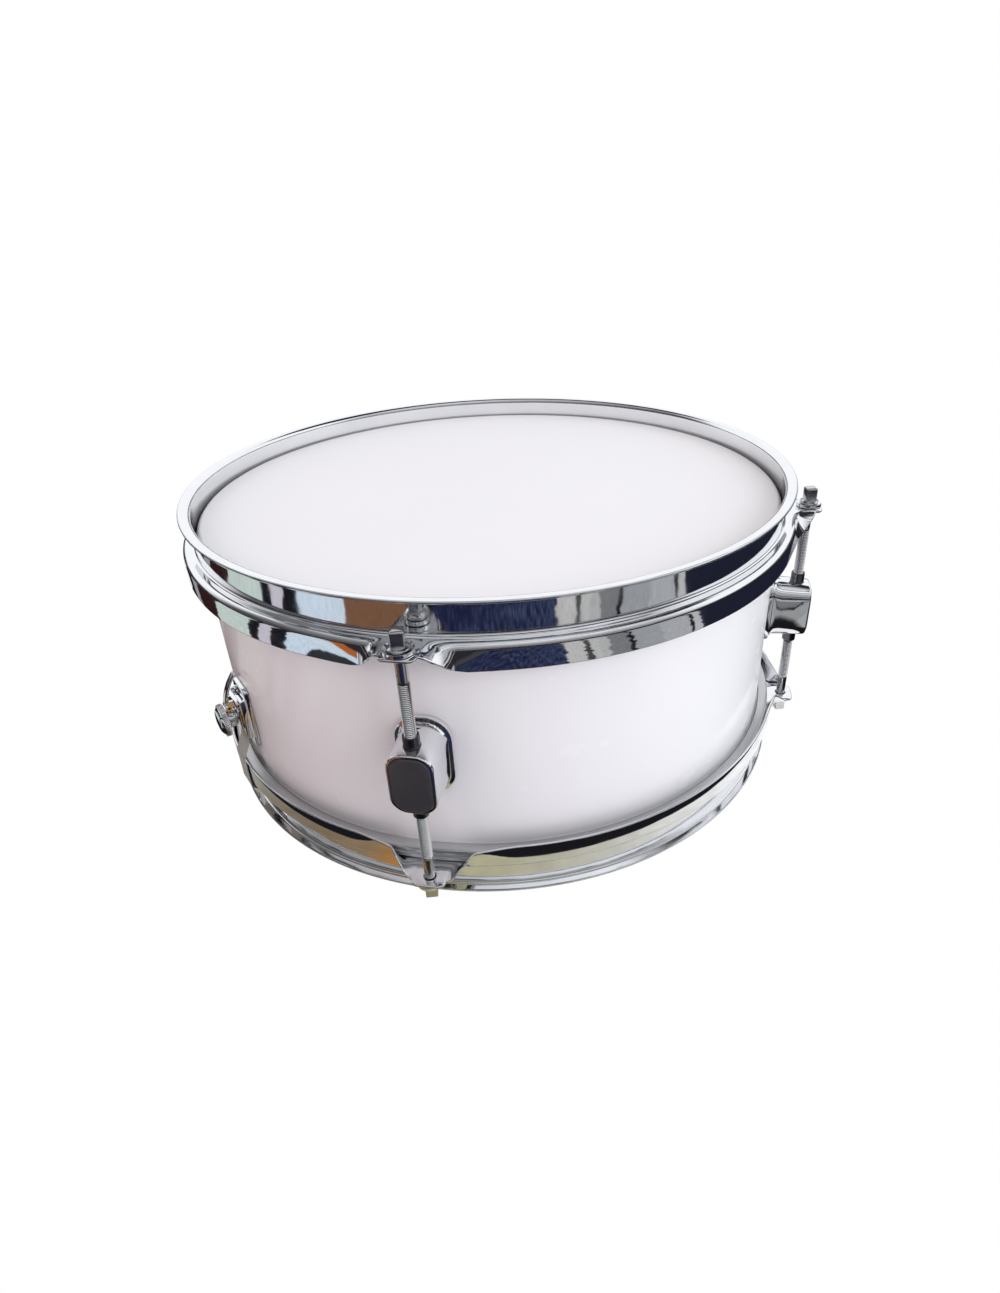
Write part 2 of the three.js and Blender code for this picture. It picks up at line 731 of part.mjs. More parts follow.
function bracketSolid() {
  const footHeight = bracketTop - bracketBottom;
  const footMiddle = (bracketTop + bracketBottom) / 2;
  const back = shellRadius - footPlate;
  const foot = radialPlate(2 * cheekOuter, footHeight, 2 * cheekWall, back, footFace, footMiddle);
  const [railBottom, railTop] = [strainerHeight - railBelow, strainerHeight + railAbove];
  const railSide = new THREE.Shape([
    point(footFace - footPlate, railBottom - footPlate),
    point(railFace, railBottom),
    point(railFace, railTop),
    point(footFace - footPlate, railTop + footPlate),
  ]);
  const rails = new THREE.ExtrudeGeometry(railSide, { depth: 2 * cheekOuter, bevelEnabled: false });
  rails.translate(0, 0, -cheekOuter).rotateX(Math.PI / 2);
  const slot = block(footFace, sliderFace + gap, cheekInner, bracketBottom, bracketTop);
  const mouth = block(sliderFace, railFace + overrun, cheekInner - railLip, bracketBottom, bracketTop);
  const bridgeFace = railFace + bridgeThickness;
  const bridge = block(sliderFace + gap, bridgeFace, cheekOuter, railTop - bridgeDrop, railTop);
  const neck = block(railFace, pivot.x, pivotEarOuter, pivot.y + gap, railTop);
  const ears = join(neck, crossRod(pivotEar, pivotEarOuter, pivot, rodSteps));
  const leverWay = block(bridgeFace, rodCircle, pivotEarInner, railBottom, bracketTop);
  const pinHole = crossRod(pivotRadius + gap, cheekOuter + overrun, pivot, holeSteps);
  const taps = Object.values(strainerScrewHeights).map((height) => (
    radialRod(screwRadius + gap, shellInner, footFace + overrun, height, holeSteps)
  ));
  const frontParts = [cut(rails, slot, mouth), bridge, cut(ears, leverWay)];
  return cut(join(foot, ...frontParts), shellBody, pinHole, ...taps);
}
put(strainer, 'strainer_bracket', bracketSolid(), chrome);
for (const [end, height] of Object.entries(strainerScrewHeights)) {
  put(strainer, `strainer_screw_${end}`, shellScrew(footFace - gap, height), darkSteel);
}

// Throw-off lever: a narrow bowed bar that rises from a barrel between the two ears and leans to the shell
function leverSolid() {
  const bowShares = [[0, 0], [0.08, 0.16], [-0.07, 0.35], [-0.28, 0.57], [-0.57, 0.78], [-1, 1]];
  const line = bowShares.map(([out, up]) => point(pivot.x + out * leverLean, pivot.y + up * leverRise));
  const strip = radialStrip(line, leverThickness, leverWidth);
  const barrel = crossRod(leverBarrelRadius, leverWidth / 2, pivot, rodSteps);
  const bore = crossRod(pivotRadius + gap, leverWidth, pivot, holeSteps);
  return cut(join(strip, barrel), bore);
}
put(strainer, 'strainer_lever', leverSolid(), chrome);
put(strainer, 'lever_pivot_pin', crossRod(pivotRadius, pivotEarOuter, pivot, rodSteps), darkSteel);

// Slider, clamp plate and thumbscrew, which hold the strap's end
function sliderSolid() {
  const width = 2 * (cheekInner - gap);
  const height = sliderAbove + sliderBelow;
  const middle = strainerHeight + (sliderAbove - sliderBelow) / 2;
  const plate = radialPlate(width, height, sliderCorner, footFace + gap, sliderFace, middle);
  return cut(plate, thumbHole);
}
put(strainer, 'strap_slider', sliderSolid(), chrome);

const clampOuter = clampFace + clampThickness;
const clampPlate = radialPlate(clampWidth, clampHeight, clampCorner, clampFace, clampOuter, strainerHeight);
put(strainer, 'strap_clamp_plate', cut(clampPlate, thumbHole), chrome);

function thumbscrewSolid() {
  const hubFrom = clampOuter + gap;
  const hubTo = hubFrom + thumbHubLength;
  const knurled = (outer, depth) => Array.from({ length: 2 * thumbKnurls }, (_, i) => {
    const radius = outer - (i % 2) * depth;
    const turn = (i / thumbKnurls) * Math.PI;
    return point(radius * Math.cos(turn), radius * Math.sin(turn));
  });
  const rim = knurled(thumbDiscRadius, thumbKnurlDepth);
  const dome = knurled(thumbDomeRadius, 0);
  const disc = loftOutwards([
    { reach: hubTo, outline: rim },
    { reach: hubTo + thumbDiscThickness, outline: rim },
    { reach: hubTo + thumbDiscThickness + thumbDomeHeight, outline: dome },
  ], strainerHeight);
  const hub = radialRod(thumbHubRadius, hubFrom, hubTo + thumbDiscThickness / 2, strainerHeight, rodSteps);
  const shaftTo = hubFrom + thumbHubLength / 2;
  const shaft = radialRod(thumbShaftRadius, footFace + gap, shaftTo, strainerHeight, holeSteps);
  return join(disc, hub, shaft);
}
put(strainer, 'clamp_thumbscrew', thumbscrewSolid(), chrome);

// Butt end: a block with its own two screws joined to it, and a bar with two screws that clamps the strap

const buttHoles = [-1, 1].map((sign) => sign * (strapWidth / 2 + buttBarHead));

function buttBlock() {
  const middle = strainerHeight + (buttAbove - buttBelow) / 2;
  const back = shellRadius - footPlate;
  const plate = radialPlate(buttWidth, buttBelow + buttAbove, buttCorner, back, sliderFace, middle);
  const screws = buttScrewHeights.map((height) => shellScrew(sliderFace - footPlate, height));
  const holeFrom = sliderFace - buttBarBite - gap;
  const barHoles = buttHoles.map((across) => {
    const drill = radialRod(screwRadius + gap, holeFrom, sliderFace + overrun, strainerHeight, holeSteps);
    return drill.translate(0, across, 0);
  });
  return join(cut(plate, shellBody, ...barHoles), ...screws);
}
put(butt, 'butt_block', buttBlock(), chrome);

function buttBar() {
  const barFace = clampFace + buttBarThickness;
  const [headFrom, headTo] = [barFace - buttBarThickness / 2, barFace + buttBarHeadHeight];
  const bar = radialPlate(buttWidth, buttBarHeight, clampCorner, clampFace, barFace, strainerHeight);
  const screws = buttHoles.flatMap((across) => {
    const shaft = radialRod(screwRadius, sliderFace - buttBarBite, barFace, strainerHeight, holeSteps);
    const top = radialRod(buttBarHead, headFrom, headTo, strainerHeight, holeSteps);
    return [shaft.translate(0, across, 0), top.translate(0, across, 0)];
  });
  return join(bar, ...screws);
}
put(butt, 'butt_clamp_bar', buttBar(), chrome);

export default drum;
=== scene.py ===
import math

import bmesh
import bpy
import numpy as np
from mathutils import Matrix, Vector


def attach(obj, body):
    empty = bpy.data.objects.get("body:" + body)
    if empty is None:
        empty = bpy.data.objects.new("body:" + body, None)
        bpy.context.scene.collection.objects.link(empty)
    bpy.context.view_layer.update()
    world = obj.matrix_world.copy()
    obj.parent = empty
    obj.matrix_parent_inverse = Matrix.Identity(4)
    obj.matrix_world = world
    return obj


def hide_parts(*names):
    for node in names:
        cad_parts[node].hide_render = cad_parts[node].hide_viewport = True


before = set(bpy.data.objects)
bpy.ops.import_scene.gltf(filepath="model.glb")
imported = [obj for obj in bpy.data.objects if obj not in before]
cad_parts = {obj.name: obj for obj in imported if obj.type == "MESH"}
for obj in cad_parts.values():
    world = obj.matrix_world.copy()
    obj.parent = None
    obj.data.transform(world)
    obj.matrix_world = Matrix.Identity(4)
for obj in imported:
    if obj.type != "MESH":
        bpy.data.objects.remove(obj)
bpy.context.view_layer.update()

mm = 0.001
scene = bpy.context.scene


# Camera
# It stands in front and a little to the right of the drum, and looks down on the batter head.
# Its place and lens come from the hoops' ellipses in the photograph.

camera_place = Vector((110.46 * mm, -470.9 * mm, 328.26 * mm))
camera_heading = math.radians(100.01)
camera_pitch = math.radians(30.52)
camera_roll = math.radians(-1.89)
photo_height = 1293
photo_centre = 500
lens_pixels = 787
lens_centre = 540
sensor = 36

ahead = Vector((
    math.cos(camera_heading) * math.cos(camera_pitch),
    math.sin(camera_heading) * math.cos(camera_pitch),
    -math.sin(camera_pitch),
))
level_right = ahead.cross(Vector((0, 0, 1))).normalized()
level_up = level_right.cross(ahead)
right = math.cos(camera_roll) * level_right + math.sin(camera_roll) * level_up
up = math.cos(camera_roll) * level_up - math.sin(camera_roll) * level_right
camera_data = bpy.data.cameras.new("camera")
camera_data.sensor_fit = "VERTICAL"
camera_data.sensor_height = sensor
camera_data.lens = sensor * lens_pixels / photo_height
camera_data.shift_x = (photo_centre - lens_centre) / photo_height
camera_data.clip_start = 10 * mm
camera_data.clip_end = 100
camera = bpy.data.objects.new("camera", camera_data)
axes = Matrix((right, up, -ahead)).transposed()
camera.matrix_world = Matrix.Translation(camera_place) @ axes.to_4x4()
scene.collection.objects.link(camera)
scene.camera = camera


# Studio
# The drum stands on a white sweep under soft lamps. Mirrors see a room instead: dark, brown, navy and pale
# bands, which stand where the chrome shows them in the photograph.

scene.view_settings.view_transform = "Standard"
scene.cycles.caustics_reflective = False


class Wire:
    """A node's output socket, which can be added, multiplied and so on."""

    def __init__(self, wiring, socket):
        self.wiring = wiring
        self.socket = socket

    def maths(self, operation, first, second):
        return self.wiring.node("ShaderNodeMath", {"operation": operation}, {0: first, 1: second})

    def __add__(self, other):
        return self.maths("ADD", self, other)

    def __radd__(self, other):
        return self.maths("ADD", other, self)

    def __sub__(self, other):
        return self.maths("SUBTRACT", self, other)

    def __rsub__(self, other):
        return self.maths("SUBTRACT", other, self)

    def __mul__(self, other):
        return self.maths("MULTIPLY", self, other)

    def __rmul__(self, other):
        return self.maths("MULTIPLY", other, self)

    def __truediv__(self, other):
        return self.maths("DIVIDE", self, other)

    def __pow__(self, other):
        return self.maths("POWER", self, other)


class Wiring:
    """Adds nodes to the tree of a material or of the world."""

    def __init__(self, tree):
        self.tree = tree

    def feed(self, socket, value):
        if isinstance(value, Wire):
            self.tree.links.new(value.socket, socket)
        elif isinstance(value, tuple) and len(value) == 3 and socket.type == "RGBA":
            socket.default_value = (*value, 1)
        else:
            socket.default_value = value

    def node(self, kind, settings=None, sockets=None, out=0):
        made = self.tree.nodes.new(kind)
        for key, value in (settings or {}).items():
            if key == "stops":
                self.set_stops(made.color_ramp, value)
            elif key == "interpolation":
                made.color_ramp.interpolation = value
            else:
                setattr(made, key, value)
        for key, value in (sockets or {}).items():
            self.feed(made.inputs[key], value)
        return Wire(self, made.outputs[out])

    def set_stops(self, ramp, stops):
        while len(ramp.elements) < len(stops):
            ramp.elements.new(1)
        for element, (place, colour) in zip(ramp.elements, stops):
            element.position = place
            element.color = (*colour, 1)

    def noise(self, scale, detail=3, roughness=0.5, vector=None):
        sockets = {"Vector": vector or self.place(), "Scale": scale, "Detail": detail, "Roughness": roughness}
        return self.node("ShaderNodeTexNoise", None, sockets)

    def place(self):
        return self.node("ShaderNodeTexCoord", out="Object")

    def split(self, vector):
        return [self.node("ShaderNodeSeparateXYZ", None, {0: vector}, out=k) for k in range(3)]

    def joined(self, x, y, z):
        return self.node("ShaderNodeCombineXYZ", None, {0: x, 1: y, 2: z})

    def mix(self, share, first, second):
        return self.node("ShaderNodeMix", {"data_type": "RGBA"}, {0: share, 6: first, 7: second}, out=2)

    def ramp(self, share, stops, interpolation="LINEAR"):
        return self.node("ShaderNodeValToRGB", {"stops": stops, "interpolation": interpolation}, {0: share})

    def span(self, value, low, high):
        return self.node("ShaderNodeMapRange", {"interpolation_type": "SMOOTHSTEP"},
                         {"Value": value, "From Min": low, "From Max": high})

    def window(self, value, opening, closing):
        """1 between two soft edges and 0 outside them. Each edge is written from its 0 to its 1."""
        return self.span(value, *opening) * self.span(value, *closing)

    def shaded(self, colour, share):
        """A colour times a share."""
        return self.node("ShaderNodeVectorMath", {"operation": "SCALE"}, {0: colour, "Scale": share})

    def ray(self, kind):
        return self.node("ShaderNodeLightPath", out=kind)

    def glow(self, kind, colour, strength):
        return self.node(kind, None, {"Color": colour, "Strength": strength})

    def shaders(self, share, first, second):
        return self.node("ShaderNodeMixShader", None, {0: share, 1: first, 2: second})


class Finish(Wiring):
    """A material made of nodes, whose surface is a Principled BSDF."""

    def __init__(self, name):
        self.material = bpy.data.materials.new(name)
        self.material.use_nodes = True
        super().__init__(self.material.node_tree)
        self.surface = self.tree.nodes["Principled BSDF"]
        self.output = self.tree.nodes["Material Output"]

    def set(self, **values):
        for key, value in values.items():
            self.feed(self.surface.inputs[key.replace("_", " ")], value)

    def bump(self, height, depth, strength=1.0, under=None):
        sockets = {"Height": height, "Distance": depth, "Strength": strength}
        if under:
            sockets["Normal"] = under
        return self.node("ShaderNodeBump", None, sockets)

    def show(self, shader):
        self.feed(self.output.inputs["Surface"], shader)


white = (0.85, 0.86, 0.88)
black = (0.010, 0.010, 0.013)
warm_side = (0.60, 0.49, 0.48)
cool_side = (0.90, 0.93, 1.0)
behind_camera_stops = [
    (0.0, (0.012, 0.012, 0.015)), (0.08, (0.02, 0.02, 0.025)), (0.10, (0.46, 0.47, 0.49)),
    (0.15, (0.56, 0.57, 0.59)), (0.17, (0.04, 0.04, 0.045)), (0.24, (0.07, 0.07, 0.08)),
    (0.28, (0.34, 0.34, 0.36)), (0.50, (0.42, 0.42, 0.44)), (0.56, (0.55, 0.55, 0.57)),
    (0.58, (0.06, 0.06, 0.065)), (0.60, (0.06, 0.06, 0.065)), (0.62, (0.75, 0.76, 0.78)),
    (0.69, (0.90, 0.91, 0.94)), (0.705, (0.04, 0.04, 0.045)), (0.725, (0.04, 0.04, 0.045)),
    (0.74, (0.95, 0.96, 0.99)), (0.83, (0.98, 1.0, 1.03)), (0.845, (0.10, 0.10, 0.11)),
    (0.865, (0.10, 0.10, 0.11)), (0.88, (0.80, 0.81, 0.84)), (1.0, (0.75, 0.76, 0.79)),
]
beyond_drum_stops = [
    (0.0, (0.05, 0.05, 0.055)), (0.08, (0.03, 0.03, 0.035)), (0.10, (0.95, 0.96, 0.98)),
    (0.20, (1.05, 1.06, 1.08)), (0.60, (1.05, 1.06, 1.08)), (0.70, (0.90, 0.91, 0.93)),
    (0.74, (0.03, 0.03, 0.035)), (1.0, (0.02, 0.02, 0.025)),
]

room_raggedness = 0.10
room_slant = 0.15
room_seam = (-0.25, 0.25)
left_wall_share = 0.82
wall_change_share = 0.50
side_seam = (-0.55, 0.45)
ambience_level = 0.62

world = bpy.data.worlds.new("studio")
scene.world = world
world.use_nodes = True
sky = Wiring(world.node_tree)
toward = sky.node("ShaderNodeTexCoord", out="Generated")
across, depth, rise = sky.split(toward)
ragged = rise + (sky.noise(3.5, 3, 0.5, toward) - 0.5) * room_raggedness
room = sky.mix(
    sky.span(depth + across * room_slant, *room_seam),
    sky.shaded(sky.ramp(ragged, behind_camera_stops), left_wall_share + across * wall_change_share),
    sky.ramp(ragged, beyond_drum_stops),
)
ambience = sky.mix(sky.span(across, *side_seam), warm_side, cool_side)
unseen = sky.shaders(
    sky.ray("Is Glossy Ray"),
    sky.glow("ShaderNodeBackground", ambience, ambience_level),
    sky.glow("ShaderNodeBackground", room, 1.0),
)
backdrop = sky.glow("ShaderNodeBackground", (1, 1, 1), 1.0)
seen = sky.ray("Is Camera Ray") + sky.ray("Is Transmission Ray")
sky.feed(sky.tree.nodes["World Output"].inputs["Surface"], sky.shaders(seen, unseen, backdrop))


def make_piece(name, points, faces):
    mesh = bpy.data.meshes.new(name)
    mesh.from_pydata([tuple(p) for p in points], [], faces)
    mesh.update()
    piece = bpy.data.objects.new(name, mesh)
    scene.collection.objects.link(piece)
    return piece


floor_reach = 12
floor_level = -0.05 * mm
sweep_seam = (-0.25, 0.12)
sweep_warm = (0.70, 0.58, 0.56)
sweep_cool = (0.93, 0.94, 0.97)
floor_corners = [
    (side_x * floor_reach, side_y * floor_reach, floor_level)
    for side_x, side_y in ((-1, -1), (1, -1), (1, 1), (-1, 1))
]
floor = make_piece("floor", floor_corners, [(0, 1, 2, 3)])
sweep = Finish("white_sweep")
sweep_across = sweep.split(sweep.place())[0]
sweep.set(
    Base_Color=sweep.mix(sweep.span(sweep_across, *sweep_seam), sweep_warm, sweep_cool),
    Roughness=0.6 + sweep.noise(3) * 0.2,
)
sweep.show(sweep.shaders(
    sweep.ray("Is Camera Ray"),
    Wire(sweep, sweep.surface.outputs[0]),
    sweep.glow("ShaderNodeEmission", (1, 1, 1), 1.0),
))
floor.data.materials.append(sweep.material)


def mirrored_card(name, inner, outer, height, paint):
    """A flat ring on the floor that only mirrors see. paint(tones) gives its colour."""
    steps = 96
    ring = []
    faces = []
    for step in range(steps):
        turn = 2 * math.pi * step / steps
        for reach in (inner, outer):
            ring.append((reach * math.cos(turn), reach * math.sin(turn), height))
        after = (step + 1) % steps
        faces.append((2 * step, 2 * step + 1, 2 * after + 1, 2 * after))
    card = make_piece(name, ring, faces)
    card.visible_camera = False
    card.visible_diffuse = False
    card.visible_shadow = False
    card.visible_transmission = False
    card.visible_volume_scatter = False
    tones = Finish(name)
    tones.show(tones.glow("ShaderNodeEmission", paint(tones), 1.0))
    card.data.materials.append(tones.material)


# Shares of a turn, from -180 degrees, at which each tone of the room starts
room_shares = [
    (0.0, (0.030, 0.012, 0.012)), (0.018, (0.56, 0.64, 0.60)), (0.067, black), (0.080, (0.58, 0.55, 0.62)),
    (0.094, black), (0.112, (0.62, 0.72, 0.82)), (0.160, (0.185, 0.095, 0.055)), (0.212, white),
    (0.2145, black), (0.216, white), (0.2185, (0.012, 0.015, 0.016)), (0.233, (0.020, 0.022, 0.065)),
    (0.331, (0.52, 0.51, 0.50)), (0.347, (0.06, 0.06, 0.06)),
    (0.350, (0.50, 0.50, 0.49)), (0.357, (0.06, 0.06, 0.06)), (0.359, (0.45, 0.45, 0.45)),
    (0.365, (0.20, 0.20, 0.21)), (0.379, black), (0.384, (0.33, 0.34, 0.36)), (0.408, (0.40, 0.41, 0.43)),
    (0.436, black), (0.440, (0.50, 0.50, 0.51)), (0.449, (0.014, 0.016, 0.030)), (0.63, (0.40, 0.41, 0.43)),
    (0.68, white), (0.78, (0.45, 0.46, 0.48)), (0.83, white), (0.945, black), (0.963, (0.30, 0.31, 0.33)),
    (0.978, (0.030, 0.012, 0.012)),
]
near_shares = [
    (0.0, (0.62, 0.62, 0.60)), (0.08, (0.45, 0.44, 0.40)), (0.13, (0.24, 0.21, 0.16)),
    (0.17, (0.22, 0.165, 0.11)), (0.205, (0.27, 0.19, 0.11)), (0.222, (0.42, 0.20, 0.05)),
    (0.235, (0.30, 0.25, 0.15)),
    (0.262, (0.46, 0.43, 0.27)), (0.31, (0.50, 0.48, 0.38)), (0.345, (0.62, 0.61, 0.54)),
    (0.38, (0.80, 0.79, 0.76)), (0.43, (1.0, 1.0, 1.0)), (0.60, (1.0, 1.0, 1.0)), (0.80, (0.62, 0.62, 0.60)),
]
rim_shares = [
    (0.10, 0.0055), (0.15, 0.0025), (0.183, 0.0008), (0.20, 0.003), (0.215, 0.013), (0.245, 0.013),
    (0.262, 0.006), (0.285, 0.0015), (0.30, 0.0012), (0.342, 0.003), (0.375, 0.0042), (0.45, 0.0048),
]


# The floor near the drum is pale wood tones, and past a dark line the room's tones start. On those lie a
# few patches, whose soft edges are in shares of a turn and in metres from the axis.
near_edge = (0.262, 0.285)
rim_line = (0.0, 0.0015)
rim_least = 0.214
grey_edge = (0.31, 0.29)
dusk_edge = (0.70, 0.82)
dusk = (0.025, 0.024, 0.026)
navy_share_edges = ((0.2330, 0.2345), (0.3310, 0.3295))
navy_middle_share = 0.285
navy_streaks = (0.47, 0.60)
navy_dark = (0.013, 0.014, 0.045)
navy_light = (0.045, 0.060, 0.115)
orange_share_edges = ((0.136, 0.142), (0.195, 0.185))
orange_edge = (0.53, 0.57)
orange_tone = (0.42, 0.125, 0.03)
plum_share_edges = ((0.149, 0.152), (0.175, 0.165))
plum_edge = (0.535, 0.545)
plum_tone = (0.16, 0.09, 0.09)
lug_share_edges = ((0.235, 0.240), (0.315, 0.310))
lug_edges = ((0.56, 0.58), (0.74, 0.70))
lug_tone = (0.055, 0.055, 0.057)
shadow_share_edges = ((0.128, 0.137), (0.175, 0.165))
shadow_edges = ((0.348, 0.332), (0.452, 0.444))
shadow_start_share = 0.138
shadow_slope = 7.5
shadow_tone = (0.030, 0.034, 0.040)


def floor_tones(tones):
    x, y, _ = tones.split(tones.place())
    turn = tones.node("ShaderNodeMath", {"operation": "ARCTAN2"}, {0: y, 1: x})
    reach = tones.node("ShaderNodeVectorMath", {"operation": "LENGTH"}, {0: tones.place()}, out="Value")
    wobble = tones.noise(9, 3) - 0.5
    share = turn / (2 * math.pi) + 0.5
    streaks = tones.noise(70, 3, 0.6, tones.joined(share * 12, reach * 0.4, 0.0))
    ragged_share = share + (tones.noise(40, 3) - 0.5) * 0.010
    far = tones.ramp(ragged_share, room_shares, "CONSTANT")
    streaked = tones.span(streaks + (share - navy_middle_share) * 1.3, *navy_streaks)
    navy = tones.mix(streaked, navy_dark, navy_light)
    far = tones.mix(tones.window(share, *navy_share_edges), far, navy)
    orange = tones.window(share, *orange_share_edges) * tones.span(reach, *orange_edge)
    far = tones.mix(orange, far, orange_tone)
    plum = tones.window(share, *plum_share_edges) * tones.span(reach, *plum_edge)
    far = tones.mix(plum * (1 - orange), far, plum_tone)
    at_lug = tones.window(share, *lug_share_edges) * tones.window(reach, *lug_edges)
    far = tones.mix(at_lug, far, lug_tone)
    far = tones.mix(tones.span(reach, *grey_edge), far, tones.node("ShaderNodeRGBToBW", None, {0: far}))
    shadow_near, shadow_far = shadow_edges
    under_edge = tones.span(reach - (share - shadow_start_share) * shadow_slope, *shadow_near)
    shadow = under_edge * tones.span(reach, *shadow_far) * tones.window(share, *shadow_share_edges)
    far = tones.mix(shadow, far, shadow_tone)
    far = tones.shaded(far, 0.55 + streaks * 0.9)
    near = tones.shaded(tones.ramp(share, near_shares), 0.75 + tones.noise(60, 4) * 0.5)
    rim = rim_least + tones.ramp(share, [(place, (rise, rise, rise)) for place, rise in rim_shares])
    near = tones.mix(tones.span(reach - rim, *rim_line), near, black)
    tone = tones.mix(tones.span(reach + wobble * 0.02, *near_edge), near, far)
    return tones.mix(tones.span(reach + wobble * 0.15, *dusk_edge), tone, dusk)


card_inner = 186 * mm
card_outer = 5
card_level = 0.4 * mm
mirrored_card("floor_card", card_inner, card_outer, card_level, floor_tones)


lamps_aim = Vector((0, 0, 90 * mm))


def soft_lamp(name, place, width, height, power, colour):
    lamp_data = bpy.data.lights.new(name, "AREA")
    lamp_data.shape = "RECTANGLE"
    lamp_data.size = width
    lamp_data.size_y = height
    lamp_data.energy = power
    lamp_data.color = colour
    lamp = bpy.data.objects.new(name, lamp_data)
    lamp.location = place
    lamp.visible_glossy = False
    lamp.rotation_mode = "QUATERNION"
    lamp.rotation_quaternion = (lamps_aim - Vector(place)).to_track_quat("-Z", "Y")
    scene.collection.objects.link(lamp)


soft_lamp("overhead", (0.3, 0.3, 2.2), 1.8, 1.8, 15.5, (1, 1, 1))
soft_lamp("left_front", (-1.6, -1.3, 1.1), 0.9, 1.4, 8, (1, 0.91, 0.90))
soft_lamp("right_front", (1.7, -1.2, 1.0), 0.9, 1.4, 17, (0.96, 0.98, 1))
soft_lamp("right_side", (2.2, 0.4, 0.9), 0.9, 1.2, 10, (0.96, 0.98, 1))


# Shell
# Poplar plies rolled to a tube and lacquered white, with a 45 degree bearing edge at both ends. The
# snare-side edge is hollowed at the strainer and the butt, and screws and the air vent go through the wall.

shell_radius = 177 * mm
shell_wall = 6 * mm
shell_depth = 150 * mm
lip_rise = 12.75 * mm
mid_height = shell_depth / 2 + lip_rise
shell_inner = shell_radius - shell_wall
shell_top = mid_height + shell_depth / 2
shell_bottom = mid_height - shell_depth / 2
crest_inset = 1.4 * mm
crest_round = 2.2 * mm
inner_edge = 0.8 * mm
crest_edge = 0.9 * mm
bed_half_width = 55 * mm
bed_depth = 1.2 * mm
bed_fade = 12 * mm
vent_radius = 5 * mm
gap = 0.3 * mm
strainer_angle = math.radians(-135)
butt_angle = math.radians(45)
vent_angle = math.radians(135)
lug_angles = {"front": -90, "right": 0, "back": 90, "left": 180}
end_signs = {"top": 1, "bottom": -1}
screw_radius = 1.9 * mm
lug_screw_spacing = 34 * mm
strainer_height = 66 * mm
strainer_screw_offset = 16 * mm
butt_screw_offset = 10 * mm
drill_overrun = 3 * mm


def face_out(piece):
    shape = bmesh.new()
    shape.from_mesh(piece.data)
    bmesh.ops.remove_doubles(shape, verts=shape.verts, dist=0.002 * mm)
    bmesh.ops.recalc_face_normals(shape, faces=shape.faces)
    shape.to_mesh(piece.data)
    shape.free()
    return piece


def smooth(piece, sharp_degrees=32):
    piece.data.shade_smooth()
    piece.data.set_sharp_from_angle(angle=math.radians(sharp_degrees))
    return piece


def soften(outline, reach, steps=4, closed=True):
    """Rounds each corner of an outline. reach is how far from the corner the curve starts."""
    corners = [Vector(p) for p in outline]
    reaches = reach if isinstance(reach, list) else [reach] * len(corners)
    result = []
    for i, corner in enumerate(corners):
        at_end = not closed and i in (0, len(corners) - 1)
        if at_end or reaches[i] == 0:
            result.append(corner)
            continue
        before = corners[i - 1] - corner
        after = corners[(i + 1) % len(corners)] - corner
        start = corner + before * min(reaches[i] / before.length, 0.48)
        end = corner + after * min(reaches[i] / after.length, 0.48)
        for step in range(steps + 1):
            t = step / steps
            result.append(start * (1 - t) ** 2 + corner * 2 * t * (1 - t) + end * t * t)
    return result


def skinned(name, rings, goes_round=False):
    """A piece whose surface runs over rings of points. It has end caps, unless it goes round."""
    count = len(rings[0])
    last = len(rings) - 1
    caps = [tuple(range(count)), tuple(range(count * (last + 1) - 1, count * last - 1, -1))]
    faces = [] if goes_round else caps
    for ring in range(last + 1 if goes_round else last):
        near = ring * count
        beyond = (ring + 1) % len(rings) * count
        for k in range(count):
            after = (k + 1) % count
            faces.append((near + k, beyond + k, beyond + after, near + after))
    return face_out(make_piece(name, [point for ring in rings for point in ring], faces))


def turned(name, profile, steps, shift=None):
    """Turns a closed (radius, height) profile round Z. shift(angle, radius, height) may lift a point."""
    rings = []
    for step in range(steps):
        angle = 2 * math.pi * step / steps
        ring = []
        for radius, height in profile:
            lift = shift(angle, radius, height) if shift else 0
            ring.append((radius * math.cos(angle), radius * math.sin(angle), height + lift))
        rings.append(ring)
    piece = skinned(name, rings, True)
    shape = bmesh.new()
    shape.from_mesh(piece.data)
    thin = [face for face in shape.faces if face.calc_area() < 1e-14]
    bmesh.ops.delete(shape, geom=thin, context="FACES")
    shape.to_mesh(piece.data)
    shape.free()
    return piece


def drill(name, radius, inner, outer, angle, height, sides=32):
    """A round cutter along the radial line at an angle and a height."""
    along = Vector((math.cos(angle), math.sin(angle), 0))
    across = Vector((-math.sin(angle), math.cos(angle), 0))
    rings = []
    for reach in (inner, outer):
        ring = []
        for side in range(sides):
            turn = 2 * math.pi * side / sides
            rim = across * math.cos(turn) * radius + Vector((0, 0, math.sin(turn) * radius))
            ring.append(along * reach + rim + Vector((0, 0, height)))
        rings.append(ring)
    return skinned(name, rings)


def merge(name, pieces):
    """One plain mesh out of several, with their materials kept."""
    shape = bmesh.new()
    finishes = []
    for piece in pieces:
        first = len(shape.faces)
        shape.from_mesh(piece.data)
        shape.faces.ensure_lookup_table()
        base = len(finishes)
        finishes += [slot.material for slot in piece.material_slots]
        for face in shape.faces[first:]:
            face.material_index += base
    mesh = bpy.data.meshes.new(name)
    shape.to_mesh(mesh)
    shape.free()
    for finish in finishes:
        mesh.materials.append(finish)
    for piece in pieces:
        bpy.data.objects.remove(piece)
    made = bpy.data.objects.new(name, mesh)
    scene.collection.objects.link(made)
    return made


def cut(piece, cutter):
    """Takes the cutter out of the piece, and removes the cutter."""
    modifier = piece.modifiers.new("cut", "BOOLEAN")
    modifier.object = cutter
    modifier.solver = "EXACT"
    return bake_modifiers(piece, cutter)


